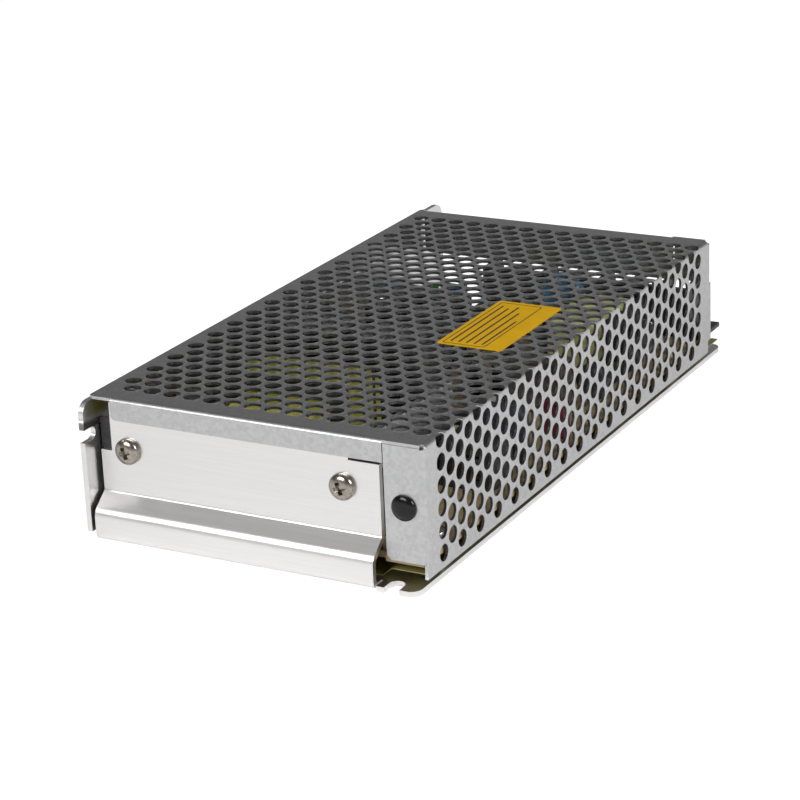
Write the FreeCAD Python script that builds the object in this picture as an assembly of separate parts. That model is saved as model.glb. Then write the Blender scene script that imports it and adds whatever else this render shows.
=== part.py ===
import FreeCAD, Part
import math
import os

# Mesh case switching power supply. Millimetres, +Z up. The origin is the middle of the
# underside; -Y is the screwed end wall, +Y the terminal end and +X the perforated side.

# Case
CASE_WIDTH = 96.6              # left wall to the perforated side's outer face
CASE_LENGTH = 199.0
CASE_HEIGHT = 38.0

# Chassis, one folded aluminium sheet: base, left wall and end wall
CHASSIS_SHEET = 1.5
CHASSIS_BEND = 0.8             # inner radius of a fold
ROLL_BEND = 2.4                # inner radius of the wide roll low on the end wall
ROLL_START = 8.0               # height where the end wall leaves the front plane
ROLL_END = 12.2                # height where it is upright again
END_WALL_GAP = 0.4             # between the left wall and the end wall's left edge
END_WALL_REACH = 83.8          # right edge of the end wall, from the left face
END_WALL_TOP_GAP = 0.7         # under the cover's top sheet
LEFT_RELIEF_WIDTH = 4.0        # notch in the end wall's upper left corner
LEFT_RELIEF_HEIGHT = 23.4
RIGHT_RELIEF_WIDTH = 8.5       # notch in the end wall's upper right corner
RIGHT_RELIEF_HEIGHT = 31.1
TAB_GAP = 0.6                  # between the end wall and the slotted tab beside it
WALL_CORNER = 3.5              # radius of the left wall's top corners
BASE_CORNER = 3.0              # radius of the base's right corners
NOTCH_WIDTH = 3.5              # open mounting notch at each end of the left wall
NOTCH_DEPTH = 4.9
NOTCH_HEIGHT = 28.2
SLOT_WIDTH = 4.2               # open mounting slot at each end of the base
SLOT_DEPTH = 5.0
SLOT_FROM_RIGHT = 7.9
BASE_SIDE_INSET = 0.8          # base's right edge, in from the perforated side's outer face
BASE_HOLES_X = 55.0            # rectangle of tapped holes in the base
BASE_HOLES_Y = 150.0
WALL_HOLES_Y = 117.0           # pair of tapped holes in the left wall
WALL_HOLES_HEIGHT = 18.0
TAPPED_HOLE = 2.5              # tapping diameter for a 3 mm screw

# Cover, one folded perforated steel sheet
COVER_SHEET = 0.8
COVER_BEND = 0.4
COVER_LEFT_INSET = 0.4         # top sheet's edge, in from the left wall's outer face
COVER_SETBACK = 4.5            # near flanges' outer face, in from the near end
COVER_FAR_SETBACK = 11.8       # far flange's outer face, in from the far end
FAR_STEP = 0.9                 # the side's far flange laps outside the top's
NEAR_FLANGE_DEPTH = 5.9
FAR_FLANGE_DEPTH = 13.3
NEAR_FLANGE_START = 6.3        # left end of the near flange, from the top sheet's edge
FAR_FLANGE_START = 1.6
SEAM_WIDTH = 0.25              # between a top flange and the side's flange beside it
SIDE_FLANGE_WIDTH = 11.2
SIDE_FLANGE_FOOT = 7.0         # height where the side's end flanges begin
SIDE_FOOT = 3.3                # height of the side's lower edge
SIDE_FAR_CUTBACK = 2.0         # below the flanges the side's far edge is cut back
FLANGE_TOP_GAP = 0.1
PLUG_HOLE = 5.0
PLUG_CLEARANCE = 0.1           # shank in its hole, on the radius
PLUG_COLLAR = 0.3              # snap collar behind the sheet, beyond the hole's radius
PLUG_COLLAR_LENGTH = 2.2
PLUG_HEAD = 6.8
PLUG_DOME = 1.6
PLUG_HEIGHT = 21.3
PLUG_FROM_SIDE = 5.9           # plug centre, in from the perforated side
TAB_WIDTH = 12.0               # fixing tabs inside the left wall
TAB_DEPTH = 8.0
TAB_FROM_END = 22.0
TAB_HOLE_DROP = 4.4            # screw centre below the top sheet
COVER_HEAD = 5.4               # countersunk screws through the left wall
COVER_HEAD_DEPTH = 1.3
COVER_SCREW_LENGTH = 5.0

# Perforation: staggered rows of round holes. One modelled hole stands for
# MESH_GROUP x MESH_GROUP real ones and has few sides, which keeps the sheet light.
MESH_PITCH = 6.0
MESH_ROW = 5.0
MESH_HOLE = 4.5
MESH_GROUP = 2.1
MESH_SIDES = 6
MESH_END_MARGIN = 6.5          # plain sheet between the flange bends and the pattern
MESH_TOP_MARGIN = 2.0
MESH_FOOT_MARGIN = 1.8

# Circuit board, its film and fixings
BOARD_THICKNESS = 1.6
BOARD_HEIGHT = 5.9             # underside
BOARD_LEFT_GAP = 1.5           # to the left wall
BOARD_RIGHT_GAP = 0.8          # to the perforated side
BOARD_WALL_GAP = 0.6           # to the end wall
BOARD_TONGUE_GAP = 0.3         # to the side's near flange
BOARD_FAR_INSET = 11.0
BOARD_HOLE = 3.4
STANDOFF_FLATS = 5.5
RIVET_DIAMETER = 4.2           # shank of a standoff, pressed into the base
SCREW_M3 = 2.9
BOARD_HEAD = 5.5
BOARD_HEAD_HEIGHT = 1.9
BOARD_SCREW_LENGTH = 5.0
STANDOFF_INSET_X = 5.2
STANDOFF_NEAR = 15.0           # from the board's near edge
STANDOFF_FAR = 17.0            # from the board's far edge
FILM_THICKNESS = 0.3
FILM_RAMP_FROM_RIGHT = 13.5    # where the film leaves the base
FILM_RAMP_WIDTH = 2.5
FILM_RISE = 2.2
FILM_NEAR_INSET = 4.0
FILM_FAR_INSET = 2.0
FILM_LEFT_GAP = 1.2
FILM_SIDE_GAP = 0.5            # to the perforated side
FILM_CLEARANCE = 0.3

# Power devices clamped to the end wall
DEVICE_WIDTH = 15.9
DEVICE_THICKNESS = 5.0
DEVICE_FOOT = 9.6              # underside of the package
DEVICE_TOP = 30.2
DEVICE_HOLE = 3.6
DEVICE_LEG = 1.2
DEVICE_LEG_PITCH = 5.4
DEVICE_LIP = 2.4               # step in the top of the package
LEG_THICKNESS = 0.6
PAD_THICKNESS = 0.3
PAD_BORDER = 1.5
LEFT_SCREW_X = 11.0            # from the left face
RIGHT_SCREW_X = 73.5
WALL_SCREW_HEIGHT = 24.0
WALL_HEAD = 7.0
WALL_HEAD_HEIGHT = 2.3
WALL_HOLE = 3.2
NUT_FLATS = 5.5
NUT_HEIGHT = 2.4

# Switching devices clamped to the left wall
SMALL_DEVICE_WIDTH = 10.2
SMALL_DEVICE_THICKNESS = 4.5
SMALL_DEVICE_FOOT = 10.5
SMALL_DEVICE_TOP = 26.0
SMALL_DEVICE_TAB = 6.2         # thin tab above the package
TAB_THICKNESS = 1.3
LEG_PITCH = 2.54
LEG_WIDTH = 0.8
SMALL_DEVICE_PITCH = 18.0
SMALL_DEVICES_Y = 110.0        # middle of the pair, from the near end
CLAMP_THICKNESS = 1.2
CLAMP_HEIGHT = 7.0
CLAMP_CENTRE = 15.4
CLAMP_HEAD = 5.6
CLAMP_HEAD_HEIGHT = 2.2

# Terminal block
WAYS = 7
WAY_PITCH = 9.5
BARRIER = 1.6
BLOCK_HEIGHT = 15.2            # above the board
BLOCK_FLOOR = 1.4
BLOCK_SHELF = 4.6              # plates lie on it, above the board
BLOCK_BACK = 2.2               # back wall
BLOCK_DEPTH = 14.6
BLOCK_FAR_INSET = 0.3
BARRIER_NOSE = 3.6             # where the barriers slope down to the floor's edge
EAR_WIDTH = 4.3
EAR_FROM_RIGHT = 1.3           # right ear's edge, in from the perforated side's outer face
PLATE_THICKNESS = 0.8
PLATE_SIDE_GAP = 0.5
PLATE_BACK_GAP = 0.3
TERMINAL_HEAD = 6.2
TERMINAL_HEAD_HEIGHT = 2.0
TERMINAL_SHANK = 3.4
TERMINAL_BITE = 3.0            # thread below the plate
WASHER_SIZE = 6.6
WASHER_THICKNESS = 0.7

# Output trimmer, turned with a screwdriver from the terminal end
TRIMMER_WIDTH = 7.0
TRIMMER_HEIGHT = 7.6
TRIMMER_DEPTH = 5.0
TRIMMER_FROM_LEFT = 12.4
TRIMMER_FAR_INSET = 0.8        # from the board's far edge
ROTOR_DIAMETER = 4.2
ROTOR_LENGTH = 2.6
ROTOR_PROUD = 0.6
ROTOR_CLEARANCE = 0.05
ROTOR_SLOT = 0.8
ROTOR_SLOT_DEPTH = 0.7

# Board parts: places are centres, from the board's left edge and its near or far edge. The
# places and plan sizes are drawn for this board, and spread or close up with the real one.
LAYOUT_WIDTH = 92.0
LAYOUT_LENGTH = 180.6
TRANSFORMER_PLACE = (35.0, 41.0)
TRANSFORMER_COIL = (25.0, 38.0, 17.6)
TRANSFORMER_LEG = (17.0, 8.4)          # centre leg's width and height
TRANSFORMER_YOKE = 4.2                 # core outside the coil, at its ends and over it
TRANSFORMER_STAND = 1.2                # bobbin foot under the core
COIL_GAP = 0.3
COIL_CHAMFER = 2.5
STRIP_INSET = 1.5                      # pin strip, in from the coil and the core
BULK_PLACES = ((16.0, 83.5), (40.0, 83.5))
BULK_DIAMETER = 22.0
BULK_HEIGHT = 25.5
OUTPUT_PLACES = ((17.0, 119.5), (31.0, 119.5), (17.0, 133.5), (31.0, 133.5), (6.5, 32.0))
OUTPUT_DIAMETER = 12.5
OUTPUT_HEIGHT = 20.0
SMALL_PLACES = ((58.0, 112.0), (49.0, 110.0), (49.0, 134.0))
SMALL_DIAMETER = 6.3
SMALL_HEIGHT = 9.0
CAN_RIM = 0.7                          # rolled edge and bead of a can
TOROID_PLACE = (9.5, 54.0)
TOROID_DIAMETER = 18.0
TOROID_HOLE = 8.0
TOROID_HEIGHT = 8.5
TOROID_CHAMFER = 1.4
HEATSINK_PLACE = (70.0, 34.5)
HEATSINK_LENGTH = 40.0
HEATSINK_HEIGHT = 25.5
HEATSINK_FOOT = 7.0
HEATSINK_PLATE = 2.0
DRIVER_PLACE = (80.5, 50.0)
DRIVER_SIZE = (15.0, 13.0, 12.5)
DRIVER_YOKE = 3.0
DRIVER_PROUD = 1.0                     # coil beyond each face of its core
BRIDGE_PLACE = (81.0, 64.0)
BRIDGE_SIZE = (15.0, 3.8, 15.0)
BRIDGE_STAND = 1.5
BRIDGE_CORNER = 2.0                    # cut corner that marks one end
BRIDGE_PITCH = 3.8
FILM_CAP_PLACE = (85.3, 88.0)
FILM_CAP_SIZE = (7.5, 4.5, 10.5)
X_CAP_PLACE = (72.0, 106.0)
X_CAP_SIZE = (18.0, 8.5, 15.0)
THERMISTOR_PLACE = (86.0, 113.0)
THERMISTOR_DIAMETER = 11.0
THERMISTOR_THICKNESS = 4.0
CHOKE_PLACE = (73.5, 140.5)
CHOKE_COIL = (20.0, 12.0, 20.0)
CHOKE_GAP = 2.4                        # between the two coils
CHOKE_LEG = (5.0, 6.0)
CHOKE_CHAMFER = 1.5
FUSE_PLACE = (77.0, 165.5)
FUSE_DIAMETER = 5.2
FUSE_GLASS = 4.7
CLIP_SHEET = 0.5
CLIP_INSET = 0.8                       # clip's edges, in from the ends of its cap
CLIP_GAP = 0.05
FUSE_LENGTH = 20.0
FUSE_CAP = 5.0
FUSE_STAND = 1.6
VARISTOR_PLACE = (52.5, 165.0)
VARISTOR_DIAMETER = 15.0
VARISTOR_THICKNESS = 5.0
VARISTOR_STAND = 5.4
Y_CAP_PLACE = (66.0, 168.0)
Y_CAP_DIAMETER = 9.0
Y_CAP_THICKNESS = 3.6
DISC_STAND = 2.0                       # disc parts stand on their wires
DISC_EDGE = 0.22                       # rounded part of a disc's thickness
WIRE = 0.7
CHIP_PLACE = (60.0, 84.0)
CHIP_SIZE = (6.4, 9.6, 3.4)
CHIP_STAND = 0.6
COUPLER_PLACE = (60.0, 98.0)
COUPLER_SIZE = (6.4, 4.6, 3.4)
CHIP_PINS = 4                          # down each side
COUPLER_PINS = 2
RESISTOR_PLACES = ((64.0, 66.0), (64.0, 71.5), (64.0, 77.0), (12.0, 150.0))
RESISTOR_DIAMETER = 3.4
RESISTOR_LENGTH = 9.0
RESISTOR_SPAN = 13.0
LAMP_PLACE = (2.8, 4.0)                # from the board's left and far edges
LAMP_DIAMETER = 3.0
LAMP_FLANGE = 3.6
LAMP_RIM = 0.8
LAMP_HEIGHT = 5.2
LAMP_STAND = 3.0

# Sticker on the cover
STICKER_WIDTH = 19.1
STICKER_LENGTH = 39.0
STICKER_CORNER = 1.2
STICKER_THICKNESS = 0.12
STICKER_FROM_SIDE = 13.2
STICKER_FROM_NEAR = 69.0

# Flats that stand for a circle
ROUND_SIDES = 16
SMALL_SIDES = 12
SCREW_SIDES = 8

LEFT = -CASE_WIDTH / 2
RIGHT = CASE_WIDTH / 2
NEAR = -CASE_LENGTH / 2
FAR = CASE_LENGTH / 2

WALL_TOP = CASE_HEIGHT - COVER_SHEET
WALL_INNER = LEFT + CHASSIS_SHEET
END_WALL_OUTER = NEAR + COVER_SETBACK + COVER_SHEET
END_WALL_INNER = END_WALL_OUTER + CHASSIS_SHEET
BASE_RIGHT = RIGHT - BASE_SIDE_INSET
COVER_RADIUS = COVER_BEND + COVER_SHEET
SIDE_OUTER = RIGHT
SIDE_INNER = SIDE_OUTER - COVER_SHEET
COVER_NEAR = NEAR + COVER_SETBACK
COVER_FAR = FAR - COVER_FAR_SETBACK
SIDE_FAR = COVER_FAR + FAR_STEP
BOARD_TOP = BOARD_HEIGHT + BOARD_THICKNESS
BOARD_LEFT = WALL_INNER + BOARD_LEFT_GAP
BOARD_RIGHT = SIDE_INNER - BOARD_RIGHT_GAP
BOARD_NEAR = END_WALL_INNER + BOARD_WALL_GAP
BOARD_FAR = FAR - BOARD_FAR_INSET
WIDTH_SHARE = (BOARD_RIGHT - BOARD_LEFT) / LAYOUT_WIDTH
LENGTH_SHARE = (BOARD_FAR - BOARD_NEAR) / LAYOUT_LENGTH
ROUND_SHARE = min(WIDTH_SHARE, LENGTH_SHARE)
END_WALL_RIGHT = LEFT + END_WALL_REACH * WIDTH_SHARE
TERMINAL_PITCH = WAY_PITCH * WIDTH_SHARE
PLUG_X = SIDE_OUTER - PLUG_FROM_SIDE

X_AXIS = FreeCAD.Vector(1, 0, 0)
Y_AXIS = FreeCAD.Vector(0, 1, 0)
Z_AXIS = FreeCAD.Vector(0, 0, 1)


def at(x, y, z):
    return FreeCAD.Vector(x, y, z)


def box(x0, x1, y0, y1, z0, z1):
    return Part.makeBox(x1 - x0, y1 - y0, z1 - z0, at(x0, y0, z0))


def closed(points):
    return Part.makePolygon(points + points[:1])


def prism(points, sweep):
    return Part.Face(closed(points)).extrude(sweep)


def across(axis):
    """Two directions square to an axis."""
    first = Z_AXIS if abs(axis.z) < 0.5 else X_AXIS
    return first, axis.cross(first)


def ring(centre, radius, sides, axis):
    """Corners of a regular polygon that has the area of a circle."""
    u, v = across(axis)
    step = 2 * math.pi / sides
    corner = radius * math.sqrt(step / math.sin(step))
    angles = [step * (k + 0.5) for k in range(sides)]
    return [centre + u * (corner * math.cos(a)) + v * (corner * math.sin(a)) for a in angles]


def turned(profile, sides, base, axis):
    """Round body from (radius, distance along the axis) pairs."""
    rings = [ring(base + axis * reach, radius, sides, axis) for radius, reach in profile]
    faces = [Part.Face(closed(rings[0])), Part.Face(closed(rings[-1]))]
    for low, high in zip(rings, rings[1:]):
        for k in range(sides):
            nxt = (k + 1) % sides
            faces.append(Part.Face(closed([low[k], low[nxt], high[nxt], high[k]])))
    shell = Part.makeShell(faces)
    shell.sewShape()
    solid = Part.makeSolid(shell)
    if solid.Volume < 0:
        solid.reverse()
    return solid


def bar(diameter, length, sides, base, axis):
    return prism(ring(base, diameter / 2, sides, axis), axis * length)


def hexagon(flats, length, base, axis):
    """Six-sided bar given by its width across the flats."""
    u, v = across(axis)
    corner = flats / math.sqrt(3)
    angles = [math.pi / 3 * k for k in range(6)]
    points = [base + u * (corner * math.cos(a)) + v * (corner * math.sin(a)) for a in angles]
    return prism(points, axis * length)


def sheet_with_holes(outline, holes, sweep):
    wires = [closed(outline)] + [closed(hole) for hole in holes]
    return Part.makeFace(wires, "Part::FaceMakerCheese").extrude(sweep)


def rounded_run(path, radii):
    """Edges of an open 2-D path whose inner corners are arcs of the given radii."""
    edges = []
    start = path[0]
    for k in range(1, len(path) - 1):
        corner = path[k]
        back = (path[k - 1] - corner).normalize()
        ahead = (path[k + 1] - corner).normalize()
        half = back.getAngle(ahead) / 2
        reach = radii[k - 1] / math.tan(half)
        first = corner + back * reach
        last = corner + ahead * reach
        to_centre = (back + ahead).normalize()
        middle = corner + to_centre * (radii[k - 1] / math.sin(half) - radii[k - 1])
        edges.append(Part.LineSegment(start, first).toShape())
        edges.append(Part.Arc(first, middle, last).toShape())
        start = last
    edges.append(Part.LineSegment(start, path[-1]).toShape())
    return edges


def folded_face(path, sheet, bends, normal):
    """Section of a folded sheet that lies to the left of its path, seen against the normal."""
    inner_radii = []
    outer_radii = []
    shifted = []
    for k, point in enumerate(path):
        before = path[k] - path[k - 1] if k > 0 else path[1] - path[0]
        after = path[k + 1] - path[k] if k < len(path) - 1 else before
        side_a = normal.cross(before.normalize())
        side_b = normal.cross(after.normalize())
        mean = side_a + side_b
        shifted.append(point + mean * (sheet / (mean.Length ** 2 / 2)))
        if 0 < k < len(path) - 1:
            left_turn = before.cross(after).dot(normal) > 0
            bend = bends[k - 1]
            outer_radii.append(bend + sheet if left_turn else bend)
            inner_radii.append(bend if left_turn else bend + sheet)
    outer = rounded_run(path, outer_radii)
    inner = rounded_run(shifted, inner_radii)
    caps = [Part.LineSegment(path[0], shifted[0]).toShape()]
    caps.append(Part.LineSegment(path[-1], shifted[-1]).toShape())
    return Part.Face(Part.Wire(Part.__sortEdges__(outer + inner + caps)))


def quarter_bend(centre, axis, start, length):
    """Cover fold: a quarter ring about a centre line, from the start direction."""
    side = axis.cross(start)
    diagonal = (start + side).normalize()
    arcs = []
    for radius in (COVER_BEND, COVER_RADIUS):
        ends = centre + start * radius, centre + side * radius
        arcs.append(Part.Arc(ends[0], centre + diagonal * radius, ends[1]))
    lines = [Part.LineSegment(centre + way * COVER_BEND, centre + way * COVER_RADIUS)
             for way in (start, side)]
    edges = [curve.toShape() for curve in arcs + lines]
    return Part.Face(Part.Wire(Part.__sortEdges__(edges))).extrude(axis * length)


def corner_cutter(corner, into_a, into_b, radius, axis, length):
    """What is cut away to round a square corner."""
    square = prism([corner - (into_a + into_b),
                    corner + into_a * radius - into_b,
                    corner + (into_a + into_b) * radius,
                    corner - into_a + into_b * radius], axis * length)
    pin = Part.makeCylinder(radius, length, corner + (into_a + into_b) * radius, axis)
    return square.cut(pin)


def joined(pieces):
    return pieces[0].multiFuse(pieces[1:]).removeSplitter()


def group(pieces):
    return Part.makeCompound(pieces)


def make_chassis():
    fold_edge = CHASSIS_BEND + CHASSIS_SHEET
    tray = folded_face([at(LEFT, NEAR, WALL_TOP), at(LEFT, NEAR, 0),
                        at(BASE_RIGHT, NEAR, 0)],
                       CHASSIS_SHEET, [CHASSIS_BEND], -Y_AXIS).extrude(Y_AXIS * CASE_LENGTH)
    wall_left = WALL_INNER + END_WALL_GAP
    wall_right = END_WALL_RIGHT
    wall_top = WALL_TOP - END_WALL_TOP_GAP
    apron = fold_edge + CHASSIS_SHEET
    opening = box(LEFT, wall_right + TAB_GAP, NEAR, NEAR + apron, 0, fold_edge)
    end_path = [at(wall_left, END_WALL_OUTER, wall_top),
                at(wall_left, END_WALL_OUTER, ROLL_END),
                at(wall_left, NEAR, ROLL_START),
                at(wall_left, NEAR, 0),
                at(wall_left, NEAR + apron, 0)]
    end_wall = folded_face(end_path, CHASSIS_SHEET, [CHASSIS_BEND, ROLL_BEND, CHASSIS_BEND],
                           X_AXIS).extrude(X_AXIS * (wall_right - wall_left))
    reliefs = [box(wall_left, wall_left + LEFT_RELIEF_WIDTH, NEAR, END_WALL_INNER,
                   LEFT_RELIEF_HEIGHT, WALL_TOP),
               box(wall_right - RIGHT_RELIEF_WIDTH, wall_right, NEAR, END_WALL_INNER,
                   RIGHT_RELIEF_HEIGHT, WALL_TOP)]
    for screw_x in wall_device_x():
        reliefs.append(bar(WALL_HOLE, CHASSIS_SHEET, SMALL_SIDES,
                           at(screw_x, END_WALL_OUTER, WALL_SCREW_HEIGHT), Y_AXIS))
    shape = joined([tray.cut(opening), end_wall.cut(group(reliefs))])

    cuts = []
    for end, inward in ((NEAR, Y_AXIS), (FAR, -Y_AXIS)):
        cuts.append(corner_cutter(at(LEFT, end, WALL_TOP), inward, -Z_AXIS, WALL_CORNER,
                                  X_AXIS, CHASSIS_SHEET))
        cuts.append(corner_cutter(at(BASE_RIGHT, end, 0), inward, -X_AXIS, BASE_CORNER,
                                  Z_AXIS, CHASSIS_SHEET))
        notch_end = end + inward.y * (NOTCH_DEPTH - NOTCH_WIDTH / 2)
        slot_end = end + inward.y * (SLOT_DEPTH - SLOT_WIDTH / 2)
        cuts.append(box(LEFT, WALL_INNER, min(end, notch_end), max(end, notch_end),
                        NOTCH_HEIGHT - NOTCH_WIDTH / 2, NOTCH_HEIGHT + NOTCH_WIDTH / 2))
        cuts.append(Part.makeCylinder(NOTCH_WIDTH / 2, CHASSIS_SHEET,
                                      at(LEFT, notch_end, NOTCH_HEIGHT), X_AXIS))
        slot_x = RIGHT - SLOT_FROM_RIGHT
        cuts.append(box(slot_x - SLOT_WIDTH / 2, slot_x + SLOT_WIDTH / 2,
                        min(end, slot_end), max(end, slot_end), 0, CHASSIS_SHEET))
        cuts.append(Part.makeCylinder(SLOT_WIDTH / 2, CHASSIS_SHEET, at(slot_x, slot_end, 0), Z_AXIS))
        for x in (-BASE_HOLES_X / 2, BASE_HOLES_X / 2):
            y = -inward.y * BASE_HOLES_Y / 2
            cuts.append(Part.makeCylinder(TAPPED_HOLE / 2, CHASSIS_SHEET, at(x, y, 0), Z_AXIS))
        y = -inward.y * WALL_HOLES_Y / 2
        cuts.append(Part.makeCylinder(TAPPED_HOLE / 2, CHASSIS_SHEET,
                                      at(LEFT, y, WALL_HOLES_HEIGHT), X_AXIS))
        screw_y, screw_z = cover_screw_place(inward)
        cuts.append(turned([(COVER_HEAD / 2, 0), (SCREW_M3 / 2, COVER_HEAD_DEPTH),
                            (SCREW_M3 / 2, CHASSIS_SHEET)],
                           SMALL_SIDES, at(LEFT, screw_y, screw_z), X_AXIS))
    cuts.append(bar(SCREW_M3, CHASSIS_SHEET, SMALL_SIDES,
                    at(LEFT, NEAR + SMALL_DEVICES_Y, CLAMP_CENTRE), X_AXIS))
    for x, y in standoff_places():
        cuts.append(bar(RIVET_DIAMETER, CHASSIS_SHEET, SMALL_SIDES, at(x, y, 0), Z_AXIS))
    return shape.cut(group(cuts)).removeSplitter()


def cover_screw_place(inward):
    end = NEAR if inward.y > 0 else FAR
    return end + inward.y * TAB_FROM_END, CASE_HEIGHT - TAB_HOLE_DROP


def make_cover_screws():
    screws = []
    for inward in (Y_AXIS, -Y_AXIS):
        y, z = cover_screw_place(inward)
        profile = [(COVER_HEAD / 2, 0), (SCREW_M3 / 2, COVER_HEAD_DEPTH),
                   (SCREW_M3 / 2, COVER_SCREW_LENGTH)]
        screws.append(turned(profile, SMALL_SIDES, at(LEFT, y, z), X_AXIS))
    return group(screws)


def stagger(u0, u1, v_rows, to_point, axis):
    """Staggered holes between u0 and u1, one row for each v."""
    pitch = MESH_PITCH * MESH_GROUP
    hole = MESH_HOLE * MESH_GROUP
    columns = int((u1 - u0 - hole) / (pitch / 2)) + 1
    first = (u0 + u1 - (columns - 1) * pitch / 2) / 2
    holes = []
    for row, v in enumerate(v_rows):
        for column in range(row % 2, columns, 2):
            centre = to_point(first + column * pitch / 2, v)
            holes.append(ring(centre, hole / 2, MESH_SIDES, axis))
    return holes


def make_cover():
    top = CASE_HEIGHT
    under = top - COVER_SHEET
    flat_right = SIDE_OUTER - COVER_RADIUS
    flat_top = top - COVER_RADIUS
    left = LEFT + COVER_LEFT_INSET
    near_fold = COVER_NEAR + COVER_RADIUS
    far_fold = COVER_FAR - COVER_RADIUS
    flange_left = left + NEAR_FLANGE_START
    far_left = left + FAR_FLANGE_START
    seam = SIDE_OUTER - SIDE_FLANGE_WIDTH
    top_seam = seam - SEAM_WIDTH

    row_pitch = MESH_ROW * MESH_GROUP
    row_space = COVER_FAR - COVER_NEAR - 2 * MESH_END_MARGIN - MESH_HOLE * MESH_GROUP
    rows = int(row_space / row_pitch) + 1
    first_row = (COVER_NEAR + COVER_FAR - (rows - 1) * row_pitch) / 2
    row_places = [first_row + k * row_pitch for k in range(rows)]

    top_outline = [at(left, COVER_NEAR, top), at(flange_left, COVER_NEAR, top),
                   at(flange_left, near_fold, top), at(top_seam, near_fold, top),
                   at(top_seam, COVER_NEAR, top), at(flat_right, COVER_NEAR, top),
                   at(flat_right, COVER_FAR, top), at(top_seam, COVER_FAR, top),
                   at(top_seam, far_fold, top), at(far_left, far_fold, top),
                   at(far_left, COVER_FAR, top), at(left, COVER_FAR, top)]
    top_holes = stagger(left + MESH_TOP_MARGIN, flat_right, row_places,
                        lambda u, v: at(u, v, top), Z_AXIS)
    top_sheet = sheet_with_holes(top_outline, top_holes, -Z_AXIS * COVER_SHEET)

    side_end = SIDE_FAR - COVER_RADIUS
    far_foot = top - FAR_FLANGE_DEPTH
    side_outline = [at(SIDE_OUTER, COVER_NEAR, SIDE_FOOT),
                    at(SIDE_OUTER, SIDE_FAR - SIDE_FAR_CUTBACK, SIDE_FOOT),
                    at(SIDE_OUTER, SIDE_FAR - SIDE_FAR_CUTBACK, SIDE_FLANGE_FOOT),
                    at(SIDE_OUTER, SIDE_FAR, SIDE_FLANGE_FOOT),
                    at(SIDE_OUTER, SIDE_FAR, far_foot),
                    at(SIDE_OUTER, side_end, far_foot),
                    at(SIDE_OUTER, side_end, flat_top),
                    at(SIDE_OUTER, near_fold, flat_top),
                    at(SIDE_OUTER, near_fold, SIDE_FLANGE_FOOT),
                    at(SIDE_OUTER, COVER_NEAR, SIDE_FLANGE_FOOT)]
    side_holes = stagger(SIDE_FOOT + MESH_FOOT_MARGIN, flat_top, row_places,
                         lambda u, v: at(SIDE_OUTER, v, u), X_AXIS)
    side_sheet = sheet_with_holes(side_outline, side_holes, -X_AXIS * COVER_SHEET)

    pieces = [top_sheet, side_sheet]
    pieces.append(quarter_bend(at(flat_right, near_fold, flat_top), Y_AXIS, Z_AXIS,
                               far_fold - near_fold))
    flange_drop = NEAR_FLANGE_DEPTH - COVER_RADIUS
    pieces.append(quarter_bend(at(flange_left, near_fold, flat_top), X_AXIS, Z_AXIS,
                               top_seam - flange_left))
    pieces.append(box(flange_left, top_seam, COVER_NEAR, COVER_NEAR + COVER_SHEET,
                      flat_top - flange_drop, flat_top))
    pieces.append(quarter_bend(at(far_left, far_fold, flat_top), X_AXIS, Y_AXIS,
                               top_seam - far_left))
    pieces.append(box(far_left, top_seam, COVER_FAR - COVER_SHEET, COVER_FAR,
                      far_foot, flat_top))

    for outer, inward, foot in ((COVER_NEAR, 1, SIDE_FLANGE_FOOT), (SIDE_FAR, -1, far_foot)):
        inner = outer + inward * COVER_SHEET
        pieces.append(box(seam, flat_right, min(outer, inner), max(outer, inner),
                          foot, under - FLANGE_TOP_GAP))
        fold = at(flat_right, outer + inward * COVER_RADIUS, foot)
        start = -Y_AXIS if inward > 0 else X_AXIS
        pieces.append(quarter_bend(fold, Z_AXIS, start, flat_top - foot))
    for inward in (Y_AXIS, -Y_AXIS):
        y = cover_screw_place(inward)[0]
        pieces.append(box(WALL_INNER, WALL_INNER + COVER_SHEET, y - TAB_WIDTH / 2,
                          y + TAB_WIDTH / 2, under - TAB_DEPTH, under))
    shape = joined(pieces)

    cuts = [bar(PLUG_HOLE, COVER_SHEET, SMALL_SIDES, at(PLUG_X, COVER_NEAR, PLUG_HEIGHT), Y_AXIS)]
    for inward in (Y_AXIS, -Y_AXIS):
        y, z = cover_screw_place(inward)
        cuts.append(bar(SCREW_M3, COVER_SHEET, SMALL_SIDES, at(WALL_INNER, y, z), X_AXIS))
    return shape.cut(group(cuts))


def make_plug():
    """Domed push-in plug with a snap collar behind the sheet."""
    shank = PLUG_HOLE / 2 - PLUG_CLEARANCE
    collar = PLUG_HOLE / 2 + PLUG_COLLAR
    head = PLUG_HEAD / 2
    profile = [(shank, COVER_SHEET + PLUG_COLLAR_LENGTH), (collar, COVER_SHEET + PLUG_CLEARANCE),
               (shank, COVER_SHEET + PLUG_CLEARANCE), (shank, 0), (head, 0),
               (0.93 * head, -0.4 * PLUG_DOME), (0.7 * head, -0.8 * PLUG_DOME),
               (0.35 * head, -PLUG_DOME)]
    return turned(profile, SMALL_SIDES, at(PLUG_X, COVER_NEAR, PLUG_HEIGHT), Y_AXIS)


def standoff_places():
    near = BOARD_NEAR + STANDOFF_NEAR
    far = BOARD_FAR - STANDOFF_FAR
    return [(BOARD_LEFT + STANDOFF_INSET_X, near), (BOARD_RIGHT - STANDOFF_INSET_X, near),
            (BOARD_LEFT + STANDOFF_INSET_X, far), (BOARD_RIGHT - STANDOFF_INSET_X, far)]


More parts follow.
